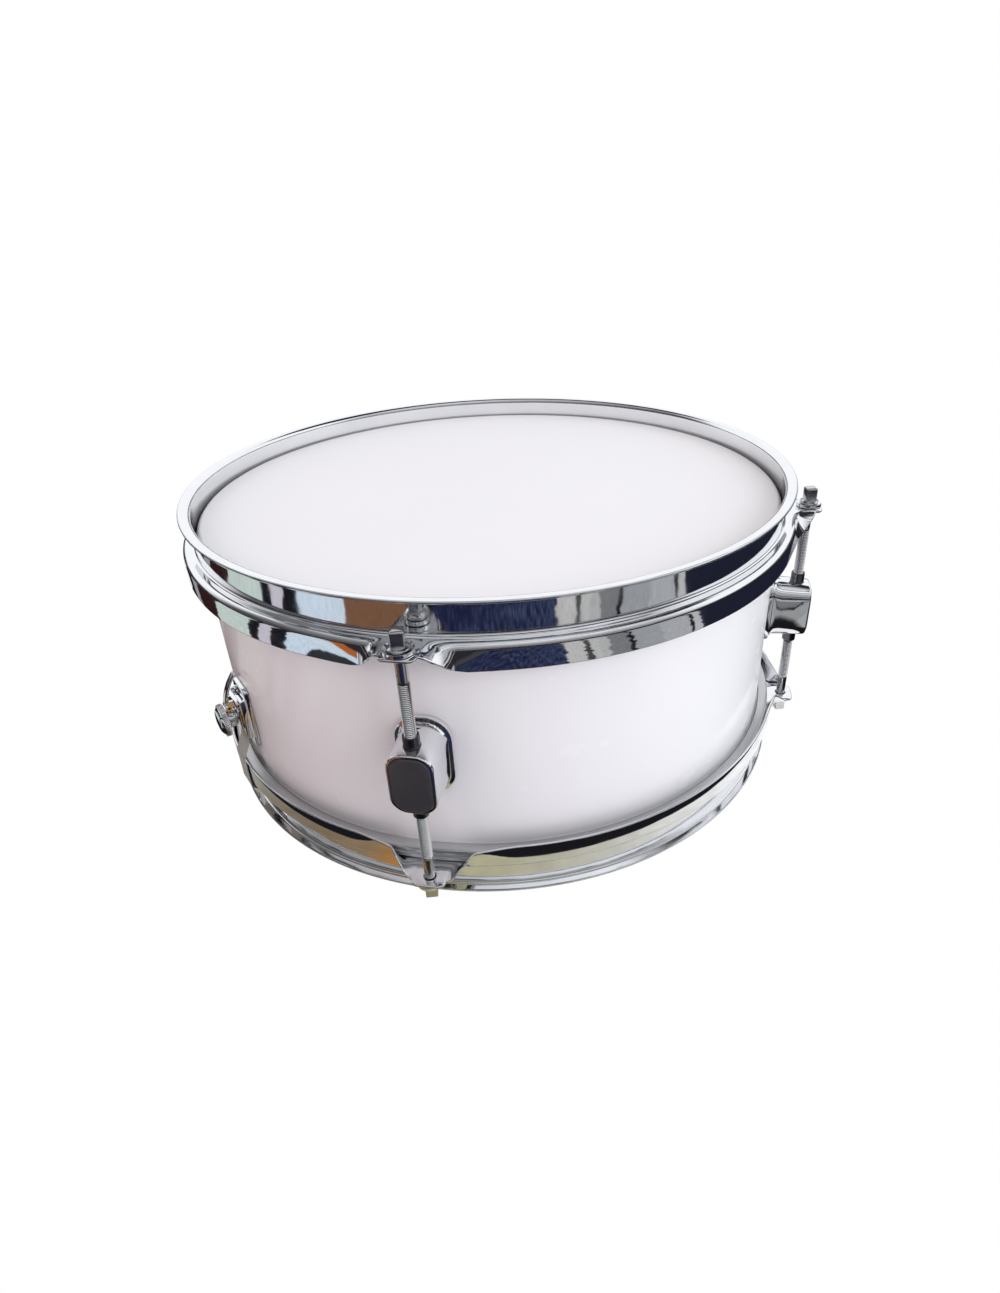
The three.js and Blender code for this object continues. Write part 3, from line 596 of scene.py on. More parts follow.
def bake_modifiers(piece, *helpers):
    graph = bpy.context.evaluated_depsgraph_get()
    baked = bpy.data.meshes.new_from_object(piece.evaluated_get(graph))
    piece.modifiers.clear()
    piece.data = baked
    for helper in helpers:
        bpy.data.objects.remove(helper)
    return piece


def painted(piece, finish):
    piece.data.materials.clear()
    piece.data.materials.append(finish.material)
    return piece


def deliver(piece, body, node):
    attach(piece, body)
    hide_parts(node)


def bed_lift(angle, radius, height):
    """How far the snare-side edge is hollowed at an angle."""
    if height > shell_bottom + bed_fade:
        return 0
    nearest = min(abs(math.remainder(angle - centre, 2 * math.pi)) for centre in (strainer_angle, butt_angle))
    share = radius * math.sin(min(nearest, math.pi / 2)) / bed_half_width
    fade = 1 - (height - shell_bottom) / bed_fade
    return bed_depth * max(0, 1 - share * share) ** 1.5 * fade


crest_radius = shell_radius - crest_inset
inner_slope = crest_radius - shell_inner
shell_profile = soften([
    (shell_inner, shell_bottom + inner_slope),
    (crest_radius, shell_bottom),
    (shell_radius, shell_bottom + crest_round),
    (shell_radius, shell_top - crest_round),
    (crest_radius, shell_top),
    (shell_inner, shell_top - inner_slope),
], [inner_edge] + [crest_edge] * 4 + [inner_edge])
shell = turned("drum_shell", shell_profile, 288, bed_lift)
shell_holes = []
for degrees in lug_angles.values():
    for sign in end_signs.values():
        height = mid_height + sign * lug_screw_spacing / 2
        shell_holes.append((math.radians(degrees), height, screw_radius + gap))
strainer_screw_heights = {
    "upper": strainer_height + strainer_screw_offset,
    "lower": strainer_height - strainer_screw_offset,
}
butt_screw_heights = [strainer_height - butt_screw_offset, strainer_height + butt_screw_offset]
for height in strainer_screw_heights.values():
    shell_holes.append((strainer_angle, height, screw_radius + gap))
for height in butt_screw_heights:
    shell_holes.append((butt_angle, height, screw_radius + gap))
shell_holes.append((vent_angle, mid_height, vent_radius))
cutters = [
    drill(f"hole_{k}", radius, shell_inner - drill_overrun, shell_radius + drill_overrun, angle, height)
    for k, (angle, height, radius) in enumerate(shell_holes)
]
shell = smooth(cut(shell, merge("shell_drills", cutters)), 40)

lacquer = Finish("white_lacquer")
clouds = lacquer.noise(6, 4)
orange_peel = lacquer.noise(420, 2)
lacquer.set(
    Base_Color=lacquer.mix(clouds, (0.84, 0.825, 0.85), (0.88, 0.87, 0.885)),
    Roughness=0.22 + lacquer.noise(40, 4) * 0.08,
    Coat_Weight=0.2 + clouds * 0.1,
    Normal=lacquer.bump(orange_peel, 0.02 * mm, 0.5),
)
lacquer.set(Coat_Roughness=0.04, IOR=1.3, Coat_IOR=1.35)
deliver(painted(shell, lacquer), "drum", "shell")


# Heads
# The batter head is clear film with a sprayed white coating, and the snare head is thin hazy film.
# Both are pressed to a collar whose edge is locked in the flesh hoop.

film = 0.35 * mm
film_flat = 165 * mm
film_rings = (0, 60 * mm, 120 * mm)
film_outer_bend = 1.4 * mm
film_inner_bend = 1.2 * mm
film_inner = shell_radius + gap
film_outer = film_inner + film
head_top = shell_top + gap + film
flesh_width = 6.2 * mm
flesh_height = 8 * mm
band_height = 19.5 * mm
sheet = 1.5 * mm
overall_height = shell_depth + 2 * lip_rise
ledge_top = overall_height - band_height
flesh_top = ledge_top - sheet - gap
collar_end = flesh_top - flesh_height + gap


def on_side(profile, sign):
    """A (radius, height) profile on the batter side, sign 1, or turned over to the snare side, sign -1."""
    return profile if sign > 0 else [(radius, overall_height - height) for radius, height in profile]


def head_piece(name, sign):
    outer = soften([
        (film_flat, head_top),
        (crest_radius, head_top),
        (film_outer, shell_top - crest_round + gap),
        (film_outer, collar_end),
    ], film_outer_bend, 5, False)
    inner = soften([
        (film_inner, collar_end),
        (film_inner, shell_top - crest_round + gap),
        (crest_radius, head_top - film),
        (film_flat, head_top - film),
    ], film_inner_bend, 5, False)
    top = [(radius, head_top) for radius in film_rings]
    profile = top + [tuple(p) for p in outer + inner] + [(0, head_top - film)]
    return smooth(turned(name, on_side(profile, sign), 240), 50)


batter = head_piece("batter_film", 1)
coating = Finish("coated_film")
mist = coating.noise(1400, 2, 0.6)
blotches = coating.noise(9, 4)
coating.set(
    Base_Color=coating.mix(blotches, (0.90, 0.905, 0.92), (0.93, 0.935, 0.945)),
    Roughness=0.42 + mist * 0.16,
    Normal=coating.bump(mist, 0.03 * mm, 0.6),
)
deliver(painted(batter, coating), "drum", "batter_head")

snare_side = head_piece("snare_film", -1)
haze = Finish("hazy_film")
hazy_clouds = haze.noise(14, 4)
haze.set(
    Base_Color=haze.mix(hazy_clouds, (0.80, 0.81, 0.82), (0.87, 0.88, 0.89)),
    Roughness=0.24 + hazy_clouds * 0.14,
    Normal=haze.bump(haze.noise(60, 2), 0.03 * mm, 0.4),
)
deliver(painted(snare_side, haze), "drum", "snare_head")


# Flesh hoops
# An aluminium channel rolled to a ring and crimped over the edge of each head's film.
# The counter hoop's ledge bears on it.

flesh_edge = 0.8 * mm
flesh_round = 1.6 * mm
groove_depth = 0.5 * mm
groove_edge = 0.3 * mm
groove_shares = (0.42, 0.5, 0.58)
flesh_inner = film_outer + gap
flesh_outer = flesh_inner + flesh_width
flesh_low = flesh_top - flesh_height


def metal_finish(name, tone_scale, tone_detail, dark, bright, roughness, roughness_change):
    """Bare metal whose tone and gloss change a little over its surface."""
    metal = Finish(name)
    tone = metal.noise(tone_scale, tone_detail)
    metal.set(
        Base_Color=metal.mix(tone, dark, bright),
        Roughness=roughness + tone * roughness_change,
        Metallic=1,
    )
    return metal


groove_low, groove_middle, groove_high = (flesh_low + flesh_height * share for share in groove_shares)
flesh_outline = soften([
    (flesh_inner, flesh_low),
    (flesh_outer, flesh_low),
    (flesh_outer, groove_low),
    (flesh_outer - groove_depth, groove_middle),
    (flesh_outer, groove_high),
    (flesh_outer, flesh_top),
    (flesh_inner, flesh_top),
], [flesh_edge, flesh_round] + [groove_edge] * 3 + [flesh_round, flesh_edge])
satin = metal_finish("satin_aluminium", 30, 3, (0.60, 0.61, 0.62), (0.70, 0.71, 0.72), 0.30, 0.15)
for name, sign in (("batter", 1), ("snare", -1)):
    profile = on_side([tuple(p) for p in flesh_outline], sign)
    ring = smooth(turned(f"{name}_flesh_channel", profile, 240), 40)
    deliver(painted(ring, satin), "drum", f"{name}_flesh_hoop")


# Counter hoops
# One steel strip, bent three times to a lip, a band, a ledge and a skirt, rolled to a ring, welded and
# chromed. At each rod the skirt is pressed up and out into a flat ear with a hole.

lip_reach = 4.5 * mm
ledge_bend = 2.6 * mm
shoulder_bend = 1.3 * mm
skirt_clearance = 1.1 * mm
skirt_drop = 14 * mm
shoulder_length = 2.4 * mm
ear_margin = 6.6 * mm
ear_tip_half_width = 9 * mm
ear_root_half_width = 23 * mm
ear_tuck = 2.6 * mm
ear_flare_half_width = 46 * mm
ear_flare_share = 0.2
ear_corner = 4 * mm
ear_hole_radius = 3.6 * mm
ear_hole_reach = 4 * mm
gate_width = 60 * mm
gate_sill = 2.6 * mm
gate_head = 17 * mm
gate_corner = 3 * mm
gate_overrun = 1 * mm
rod_standoff = 7.65 * mm
band_centre = flesh_inner + sheet / 2
skirt_outer = flesh_outer + skirt_clearance + sheet
rod_circle = skirt_outer + rod_standoff


def smoothstep(t):
    t = min(1, max(0, t))
    return t * t * (3 - 2 * t)


def strip_section(lift, corner_cut):
    """The strip's centre line, whose skirt swings up and out into an ear as lift goes from 0 to 1."""
    ledge = ledge_top - sheet / 2
    lip = overall_height - sheet / 2
    shoulder_start = skirt_outer - sheet / 2 - shoulder_length * math.sqrt(0.5)
    turn = (1 - lift) * math.pi / 2
    shoulder = (shoulder_start + shoulder_length * math.cos(turn / 2),
                ledge - shoulder_length * math.sin(turn / 2))
    skirt_length = skirt_drop - sheet / 2 - shoulder_length * math.sqrt(0.5)
    ear_length = rod_circle + ear_margin - shoulder_start - shoulder_length - corner_cut
    length = skirt_length + (ear_length - skirt_length) * lift - 4 * lift * (1 - lift) * ear_tuck
    tip = (shoulder[0] + length * math.cos(turn), shoulder[1] - length * math.sin(turn))
    return [
        (band_centre + sheet / 2 + lip_reach, lip),
        (band_centre, lip),
        (band_centre, ledge),
        (shoulder_start, ledge),
        shoulder,
        tip,
    ]


def strip_outline(lift, corner_cut):
    """The strip's section: its softened centre line with both faces and round edges."""
    bends = [0, ledge_bend, ledge_bend, shoulder_bend, shoulder_bend, 0]
    line = soften(strip_section(lift, corner_cut), bends, 6, False)
    half = sheet / 2
    above = []
    below = []
    for i, here in enumerate(line):
        along = (line[min(i + 1, len(line) - 1)] - line[max(i - 1, 0)]).normalized()
        across = Vector((-along.y, along.x))
        above.append(here + across * half)
        below.append(here - across * half)
    edges = []
    for end, inward, sign in ((line[-1], line[-2], 1), (line[0], line[1], -1)):
        along = (end - inward).normalized()
        across = Vector((-along.y, along.x)) * sign
        turns = [math.pi * k / 5 for k in range(1, 5)]
        edges.append([end + (across * math.cos(turn) + along * math.sin(turn)) * half for turn in turns])
    return above + edges[0] + below[::-1] + edges[1]


def hoop_angles():
    """Places round the hoop with their lift: close together on the ears' flanks."""
    tip = math.asin(ear_tip_half_width / rod_circle)
    root = math.asin(ear_root_half_width / skirt_outer)
    flare_end = math.asin(ear_flare_half_width / skirt_outer)
    corner = math.asin((ear_tip_half_width - ear_corner) / rod_circle)
    stations = []

    def lift_at(offset):
        fold = smoothstep(1 - (offset - tip) / (root - tip))
        flare = smoothstep(1 - (offset - tip) / (flare_end - tip))
        return fold + (1 - fold) * flare * ear_flare_share

    tip_steps, corner_steps, flank_steps, plain_steps = 3, 7, 26, 60
    for degrees in lug_angles.values():
        centre = math.radians(degrees)
        offsets = [corner * k / tip_steps for k in range(-tip_steps, tip_steps + 1)]
        for side in (-1, 1):
            for start, end, steps in ((corner, tip, corner_steps), (tip, root, flank_steps)):
                offsets += [side * (start + (end - start) * k / steps) for k in range(1, steps + 1)]
        for offset in offsets:
            across = max(0, abs(offset) - corner) * rod_circle
            cut_back = ear_corner - math.sqrt(max(0, ear_corner ** 2 - min(across, ear_corner) ** 2))
            stations.append((centre + offset, lift_at(abs(offset)), cut_back))
        reach = math.pi / 2 - 2 * root
        for k in range(1, plain_steps):
            along = reach * k / plain_steps
            stations.append((centre + root + along, lift_at(root + min(along, reach - along)), 0))
    return sorted((angle % (2 * math.pi), lift, cut_back) for angle, lift, cut_back in stations)


def hoop_piece(name, sign):
    rings = []
    for angle, lift, cut_back in hoop_angles():
        outline = on_side([tuple(p) for p in strip_outline(lift, cut_back)], sign)
        x, y = math.cos(angle), math.sin(angle)
        rings.append([(radius * x, radius * y, height) for radius, height in outline])
    hoop = skinned(name, rings, True)
    drills = []
    middle = ledge_top - sheet / 2
    if sign < 0:
        middle = overall_height - middle
    low, high = middle - ear_hole_reach, middle + ear_hole_reach
    profile = [(0, low), (ear_hole_radius, low), (ear_hole_radius, high), (0, high)]
    for place, degrees in lug_angles.items():
        hole = turned(f"{name}_hole_{place}", profile, 40)
        angle = math.radians(degrees)
        centre = Vector((rod_circle * math.cos(angle), rod_circle * math.sin(angle), 0))
        hole.data.transform(Matrix.Translation(centre))
        drills.append(hole)
    if sign < 0:
        drills += [gate_cutter("strainer_gate", strainer_angle), gate_cutter("butt_gate", butt_angle)]
    return smooth(cut(hoop, merge(f"{name}_drills", drills)), 38)


def rounded_outline(width, height, corner, steps=8):
    outline = []
    reach_x, reach_y = width / 2 - corner, height / 2 - corner
    for quarter, (sign_x, sign_y) in enumerate(((1, 1), (-1, 1), (-1, -1), (1, -1))):
        for step in range(steps + 1):
            turn = (quarter + step / steps) * math.pi / 2
            outline.append((sign_x * reach_x + corner * math.cos(turn),
                            sign_y * reach_y + corner * math.sin(turn)))
    return outline


def radial_loft(name, rings, centre_height, angle=0.0):
    """Skins outlines that stand on a radial line: each ring is (reach, outline), outwards in order.
    reach may be a function of the distance across, for a ring that follows a curved wall."""
    placed = []
    for reach, outline in rings:
        placed.append([
            (reach(across) if callable(reach) else reach, across, centre_height + rise)
            for across, rise in outline
        ])
    piece = skinned(name, placed)
    piece.data.transform(Matrix.Rotation(angle, 4, "Z"))
    return piece


def gate_cutter(name, angle):
    outline = rounded_outline(gate_width, gate_head - gate_sill, gate_corner)
    sagitta = band_centre - math.sqrt(band_centre ** 2 - (gate_width / 2) ** 2)
    inner = band_centre - sagitta - sheet - gate_overrun
    outer = band_centre + sheet + gate_overrun
    return radial_loft(name, [(inner, outline), (outer, outline)], (gate_head + gate_sill) / 2, angle)


def chrome_finish(name, ripple, ripple_scale):
    """Bright chrome plate: faint rolling waves, smudges and fine pits."""
    plate = Finish(name)
    waves = plate.noise(ripple_scale, 2)
    smudges = plate.noise(55, 5, 0.65)
    pits = plate.noise(900, 2)
    plate.set(
        Base_Color=plate.mix(smudges, (0.80, 0.81, 0.83), (0.90, 0.91, 0.93)),
        Roughness=0.03 + smudges ** 3.0 * 0.22,
        Normal=plate.bump(waves, ripple, 1, plate.bump(pits, 0.004 * mm, 0.5)),
    )
    plate.set(Metallic=1)
    return plate


hoop_chrome = chrome_finish("hoop_chrome", 0.35 * mm, 26)
for name, sign in (("batter", 1), ("snare", -1)):
    hoop = hoop_piece(f"{name}_counter_hoop", sign)
    deliver(painted(hoop, hoop_chrome), "drum", f"{name}_hoop")


# Lugs
# A hollow casting on an oblong foot, with its corners cut off towards the face. It holds a swivel nut for
# each rod, and a charcoal inlay sits in a recess in its face.

lug_foot_width = 29 * mm
lug_foot_height = 46 * mm
lug_foot_corner = 13 * mm
lug_foot_thickness = 2.4 * mm
lug_step = 1.3 * mm
lug_waist_width = 24.4 * mm
lug_waist_height = 38 * mm
lug_waist_corner = 10.5 * mm
lug_waist_rise = 4.5 * mm
lug_face_width = 22.4 * mm
lug_face_height = 33.4 * mm
lug_face_corner = 8.5 * mm
lug_face_reach = 8 * mm
lug_face_bevel = 1.2 * mm
lug_face_trim = 0.25 * mm
lug_foot_round = 0.7 * mm
lug_neck_trim = 0.6 * mm
inlay_rim = 0.7 * mm
inlay_depth = 1 * mm
inlay_crown = 0.8 * mm
inlay_edge_inset = 0.8 * mm
inlay_corner_trim = 0.6 * mm
inlay_corner_inset = 0.4 * mm
seat_corner_trim = 0.5 * mm
pocket_wall_top = 6 * mm
pocket_side_wall = 4.8 * mm
pocket_front_wall = 1.4 * mm
nut_bore = 3.3 * mm
nut_outer = nut_bore + 0.8 * mm
screw_bite = 6 * mm
cut_overrun = 1 * mm
lug_face = rod_circle + lug_face_reach
outline_steps = 9


def cut_corners(width, height, corner):
    """An oblong whose corners are cut off. The eight corners that gives are softened."""
    trim = corner * (2 - math.sqrt(2))
    x, y = width / 2, height / 2
    outline = [(x, y - trim), (x - trim, y), (trim - x, y), (-x, y - trim),
               (-x, trim - y), (trim - x, -y), (x - trim, -y), (x, trim - y)]
    return [tuple(p) for p in soften(outline, trim * 0.66, (outline_steps - 1) // 2)]


def between(first, second, share):
    return [tuple(Vector(a).lerp(Vector(b), share)) for a, b in zip(first, second)]


def on_shell(across):
    """How far out the shell's wall is, just clear of it, at a distance across."""
    return math.sqrt((shell_radius + gap) ** 2 - across ** 2)


def lug_rings():
    step_reach = shell_radius + lug_foot_thickness
    waist_reach = step_reach + lug_step + lug_waist_rise

    def foot(inset):
        corner = lug_foot_corner - inset
        return rounded_outline(lug_foot_width - 2 * inset, lug_foot_height - 2 * inset, corner, outline_steps)

    def face(inset):
        corner = lug_face_corner - inset * 0.3
        return cut_corners(lug_face_width - 2 * inset, lug_face_height - 2 * inset, corner)

    waist = between(
        rounded_outline(lug_waist_width, lug_waist_height, lug_waist_corner, outline_steps),
        cut_corners(lug_waist_width, lug_waist_height, lug_waist_corner),
        0.5,
    )
    neck = foot(lug_step + lug_neck_trim)
    brow = face(-lug_face_bevel * 0.5)
    return [
        (on_shell, foot(0)),
        (step_reach - lug_foot_round, foot(0)),
        (step_reach - 0.2 * mm, foot(0.15 * mm)),
        (step_reach, foot(0.5 * mm)),
        (step_reach + 0.15 * mm, foot(lug_step)),
        (step_reach + 0.5 * mm, between(foot(lug_step + 0.5 * mm), waist, 0.25)),
        (step_reach + lug_step, between(neck, waist, 0.55)),
        (step_reach + lug_step + 0.35 * lug_waist_rise, between(neck, waist, 0.86)),
        (waist_reach, waist),
        ((waist_reach + lug_face) / 2, between(waist, brow, 0.52)),
        (lug_face - lug_face_bevel, brow),
        (lug_face - lug_face_bevel * 0.45, face(-lug_face_bevel * 0.38)),
        (lug_face - lug_face_bevel * 0.12, face(-lug_face_bevel * 0.14)),
        (lug_face, face(lug_face_trim)),
    ]


def box_piece(name, near, far, half_width, low, high):
    corners = [(x, y, z) for z in (low, high) for y in (-half_width, half_width) for x in (near, far)]
    faces = [(0, 2, 3, 1), (4, 5, 7, 6), (0, 1, 5, 4), (2, 6, 7, 3), (0, 4, 6, 2), (1, 3, 7, 5)]
    return face_out(make_piece(name, corners, faces))


def unite(piece, other):
    modifier = piece.modifiers.new("unite", "BOOLEAN")
    modifier.operation = "UNION"
    modifier.solver = "EXACT"
    modifier.object = other
    return bake_modifiers(piece, other)


def bevelled(piece, width, segments=2, degrees=38):
    modifier = piece.modifiers.new("bevel", "BEVEL")
    modifier.width = width
    modifier.segments = segments
    modifier.limit_method = "ANGLE"
    modifier.angle_limit = math.radians(degrees)
    return bake_modifiers(piece)


def copy_to(piece, name, matrix):
    made = bpy.data.objects.new(name, piece.data.copy())
    made.data.transform(matrix)
    scene.collection.objects.link(made)
    return made


pocket_half_height = lug_face_height / 2 - pocket_wall_top
pocket_half_width = lug_face_width / 2 - pocket_side_wall
pocket_front = lug_face - inlay_depth - pocket_front_wall
nut_way = turned("nut_way", [
    (0, mid_height - lug_foot_height),
    (nut_outer + gap, mid_height - lug_foot_height),
    (nut_outer + gap, mid_height + lug_foot_height),
    (0, mid_height + lug_foot_height),
], 40)
nut_way.data.transform(Matrix.Translation((rod_circle, 0, 0)))
seat_outline = cut_corners(
    lug_face_width - 2 * inlay_rim, lug_face_height - 2 * inlay_rim, lug_face_corner - seat_corner_trim)
seat_rings = [(reach, seat_outline) for reach in (lug_face - inlay_depth, lug_face + cut_overrun)]
inlay_seat = radial_loft("inlay_seat", seat_rings, mid_height)
casting = radial_loft("lug_casting", lug_rings(), mid_height)
pocket = box_piece("lug_pocket", shell_inner, pocket_front, pocket_half_width,
                   mid_height - pocket_half_height, mid_height + pocket_half_height)
for tool in (pocket, nut_way, inlay_seat):
    casting = cut(casting, tool)
for sign in end_signs.values():
    height = mid_height + sign * lug_screw_spacing / 2
    tap = drill("lug_tap", screw_radius + gap, shell_inner, shell_radius + screw_bite + gap, 0, height, 24)
    casting = cut(casting, tap)
smooth(casting, 30)

inlay_rings = []
inlay_shares = [(-0.875, 0), (0, 0), (0.35, 0.06), (0.62, 0.3), (0.82, 0.9), (0.95, 2.2), (1, 4.4)]
for rise, inset in inlay_shares:
    trim = inlay_rim + gap + inset * inlay_edge_inset
    corner = lug_face_corner - inlay_corner_trim - inset * inlay_corner_inset
    outline = cut_corners(lug_face_width - 2 * trim, lug_face_height - 2 * trim, corner)
    inlay_rings.append((lug_face + rise * inlay_crown, outline))
inlay_plate = smooth(radial_loft("inlay_plate", inlay_rings, mid_height), 50)

small_chrome = chrome_finish("small_part_chrome", 0.05 * mm, 90)
charcoal = Finish("charcoal_inlay")
charcoal_clouds = charcoal.noise(70, 5, 0.6)
charcoal_grain = charcoal.noise(2600, 2)
charcoal.set(
    Base_Color=charcoal.mix(charcoal_clouds, (0.031, 0.029, 0.034), (0.056, 0.053, 0.061)),
    Roughness=0.24 + charcoal_clouds * 0.14,
    Coat_Weight=0.3 + charcoal_clouds * 0.2,
    Normal=charcoal.bump(charcoal_grain, 0.006 * mm, 0.5),
)
charcoal.set(Coat_Roughness=0.12)
painted(casting, small_chrome)
painted(inlay_plate, charcoal)
for place, degrees in lug_angles.items():
    round_drum = Matrix.Rotation(math.radians(degrees), 4, "Z")
    body = copy_to(casting, f"lug_body_{place}", round_drum)
    deliver(body, "drum", f"lug_{place}")
    inlay = copy_to(inlay_plate, f"inlay_{place}", round_drum)
    deliver(inlay, "drum", f"lug_inlay_{place}")
bpy.data.objects.remove(casting)
bpy.data.objects.remove(inlay_plate)


# Swivel nuts
# A dark steel sleeve with a flange inside the lug. Its collar stands out of the lug's end, round the rod.

nut_flange = nut_outer + 1.5 * mm
nut_flange_thickness = 3 * mm
nut_tail = 3 * mm
nut_collar = 7.5 * mm
nut_edges = [0.2 * mm, 0.4 * mm, 0.3 * mm, 0.6 * mm, 0.6 * mm, 0.3 * mm, 0.45 * mm, 0.2 * mm]
key_turn = math.radians(15)
nut_flange_top = mid_height + pocket_half_height - gap
nut_flange_low = nut_flange_top - nut_flange_thickness
nut_top = mid_height + lug_face_height / 2 + nut_collar
nut_bottom = nut_flange_low - nut_tail


def rod_frame(degrees, sign):
    """Moves a piece from the Z axis to its rod's place. A snare-side one is turned over, not mirrored,
    so that its thread keeps its hand, and its key stands straight above the batter-side one."""
    over = Matrix.Rotation(math.pi, 4, "X") @ Matrix.Rotation(-2 * key_turn, 4, "Z")
    facing = Matrix() if sign > 0 else Matrix.Translation((0, 0, overall_height)) @ over
    return Matrix.Rotation(math.radians(degrees), 4, "Z") @ Matrix.Translation((rod_circle, 0, 0)) @ facing


nut_outline = soften([
    (nut_bore, nut_bottom),
    (nut_outer, nut_bottom),
    (nut_outer, nut_flange_low),
    (nut_flange, nut_flange_low),
    (nut_flange, nut_flange_top),
    (nut_outer, nut_flange_top),
    (nut_outer, nut_top),
    (nut_bore, nut_top),
], nut_edges, 3)
sleeve = smooth(turned("swivel_sleeve", [tuple(p) for p in nut_outline], 48), 50)
dark_steel = metal_finish("dark_steel", 120, 4, (0.10, 0.10, 0.115), (0.20, 0.20, 0.215), 0.18, 0.16)
dark_steel.set(Normal=dark_steel.bump(dark_steel.noise(700, 3), 0.008 * mm, 0.4))
painted(sleeve, dark_steel)
for place, degrees in lug_angles.items():
    for end, sign in end_signs.items():
        nut = copy_to(sleeve, f"swivel_sleeve_{place}_{end}", rod_frame(degrees, sign))
        deliver(nut, "drum", f"swivel_nut_{place}_{end}")
bpy.data.objects.remove(sleeve)


# Tension rods
# An M6 rod with a plain shank, a domed flange and a square key head. Its thread is a spiral made with
# geometry nodes. It turns in its swivel nut and bears on a cupped washer on the hoop's ear.

thread_radius = 3 * mm
thread_pitch = 1 * mm
shank_radius = 2.85 * mm
shank_length = 15 * mm
flange_radius = 5.4 * mm
flange_thickness = 1.6 * mm
key_flats = 6.35 * mm
key_height = 8 * mm
key_corner = 0.55 * mm
key_sink = 0.35 * mm
shank_sink = 0.4 * mm
shank_taper = 0.5 * mm
shank_shoulder = 0.3 * mm
flange_side = 0.9 * mm
flange_dome = 1.3 * mm
stem_edges = [0, 0.2 * mm, 0.3 * mm, 0.3 * mm, 0.35 * mm, 0.5 * mm, 0.8 * mm, 0.3 * mm, 0]
core_edges = [0, 0.7 * mm, 0, 0]
washer_edges = [0.2 * mm, 0.3 * mm, 0.3 * mm, 0.7 * mm, 0.2 * mm]
thread_depth_share = 0.33
rod_end_inset = 1 * mm
washer_radius = 7.2 * mm
washer_thickness = 1.2 * mm
washer_rim_width = 1.3 * mm
washer_rim_height = 0.9 * mm
washer_bottom = ledge_top + gap
washer_top = washer_bottom + washer_thickness
flange_bottom = washer_top + gap
flange_top = flange_bottom + flange_thickness
key_top = flange_top + key_height
rod_end = nut_bottom + rod_end_inset
thread_top = ledge_top - shank_length


class Recipe:
    """A geometry node group with named inputs, one of which is the material."""

    def __init__(self, name, inputs):
        self.group = bpy.data.node_groups.new(name, "GeometryNodeTree")
        sockets = self.group.interface
        sockets.new_socket("Geometry", in_out="OUTPUT", socket_type="NodeSocketGeometry")
        self.names = {}
        for label, kind in {**inputs, "Material": "NodeSocketMaterial"}.items():
            self.names[label] = sockets.new_socket(label, in_out="INPUT", socket_type=kind).identifier
        self.given = self.group.nodes.new("NodeGroupInput").outputs
        self.result = self.group.nodes.new("NodeGroupOutput")

    def node(self, kind, settings=None, sockets=None):
        made = self.group.nodes.new(kind)
        for key, value in (settings or {}).items():
            setattr(made, key, value)
        for key, value in (sockets or {}).items():
            if isinstance(value, bpy.types.NodeSocket):
                self.group.links.new(value, made.inputs[key])
            else:
                made.inputs[key].default_value = value
        return made.outputs[0]

    def maths(self, operation, first, second):
        return self.node("ShaderNodeMath", {"operation": operation}, {0: first, 1: second})

    def yields(self, geometry):
        real = self.node("GeometryNodeRealizeInstances", None, {0: geometry})
        finished = self.node("GeometryNodeSetMaterial", None, {0: real, "Material": self.given["Material"]})
        self.group.links.new(finished, self.result.inputs[0])

    def make(self, name, finish, values):
        piece = make_piece(name, [], [])
        modifier = piece.modifiers.new(self.group.name, "NODES")
        modifier.node_group = self.group
        modifier[self.names["Material"]] = finish.material
        for label, value in values.items():
            modifier[self.names[label]] = value
        return bake_modifiers(piece)


def spiral_wire(recipe, radius, pitch, length, steps, wire_radius, wire_sides):
    rounds = recipe.maths("DIVIDE", length, pitch)
    spiral = recipe.node("GeometryNodeCurveSpiral", None, {
        "Resolution": steps, "Rotations": rounds,
        "Start Radius": radius, "End Radius": radius, "Height": length,
    })
    upright = recipe.node("GeometryNodeSetCurveNormal", {"mode": "Z_UP"}, {"Curve": spiral})
    section = recipe.node("GeometryNodeCurvePrimitiveCircle", None, {
        "Resolution": wire_sides, "Radius": wire_radius,
    })
    return recipe.node("GeometryNodeCurveToMesh", None, {
        "Curve": upright, "Profile Curve": section, "Fill Caps": True,
    })


thread_recipe = Recipe("cut_thread", {
    "Radius": "NodeSocketFloat", "Pitch": "NodeSocketFloat", "Length": "NodeSocketFloat",
})
thread_given = thread_recipe.given
thread_depth = thread_recipe.maths("MULTIPLY", thread_given["Pitch"], thread_depth_share)
thread_middle = thread_recipe.maths("SUBTRACT", thread_given["Radius"], thread_depth)
thread_recipe.yields(spiral_wire(
    thread_recipe, thread_middle, thread_given["Pitch"], thread_given["Length"], 20, thread_depth, 4))


def cut_thread(name, finish, radius, pitch, low, high):
    """A thread's ridge round the Z axis. The core, of radius less half the pitch, is a piece of its own."""
    ridge = thread_recipe.make(name, finish, {"Radius": radius, "Pitch": pitch, "Length": high - low - pitch})
    ridge.data.transform(Matrix.Translation((0, 0, low + pitch / 2)))
    return smooth(ridge, 40)


def axial_loft(name, rings):
    """Skins outlines that stand above each other on the Z axis: each ring is (height, outline)."""
    return skinned(name, [[(x, y, height) for x, y in outline] for height, outline in rings])


def square(inset):
    side = key_flats - 2 * inset
    outline = rounded_outline(side, side, key_corner, 4)
    cosine, sine = math.cos(key_turn), math.sin(key_turn)
    return [(x * cosine - y * sine, x * sine + y * cosine) for x, y in outline]


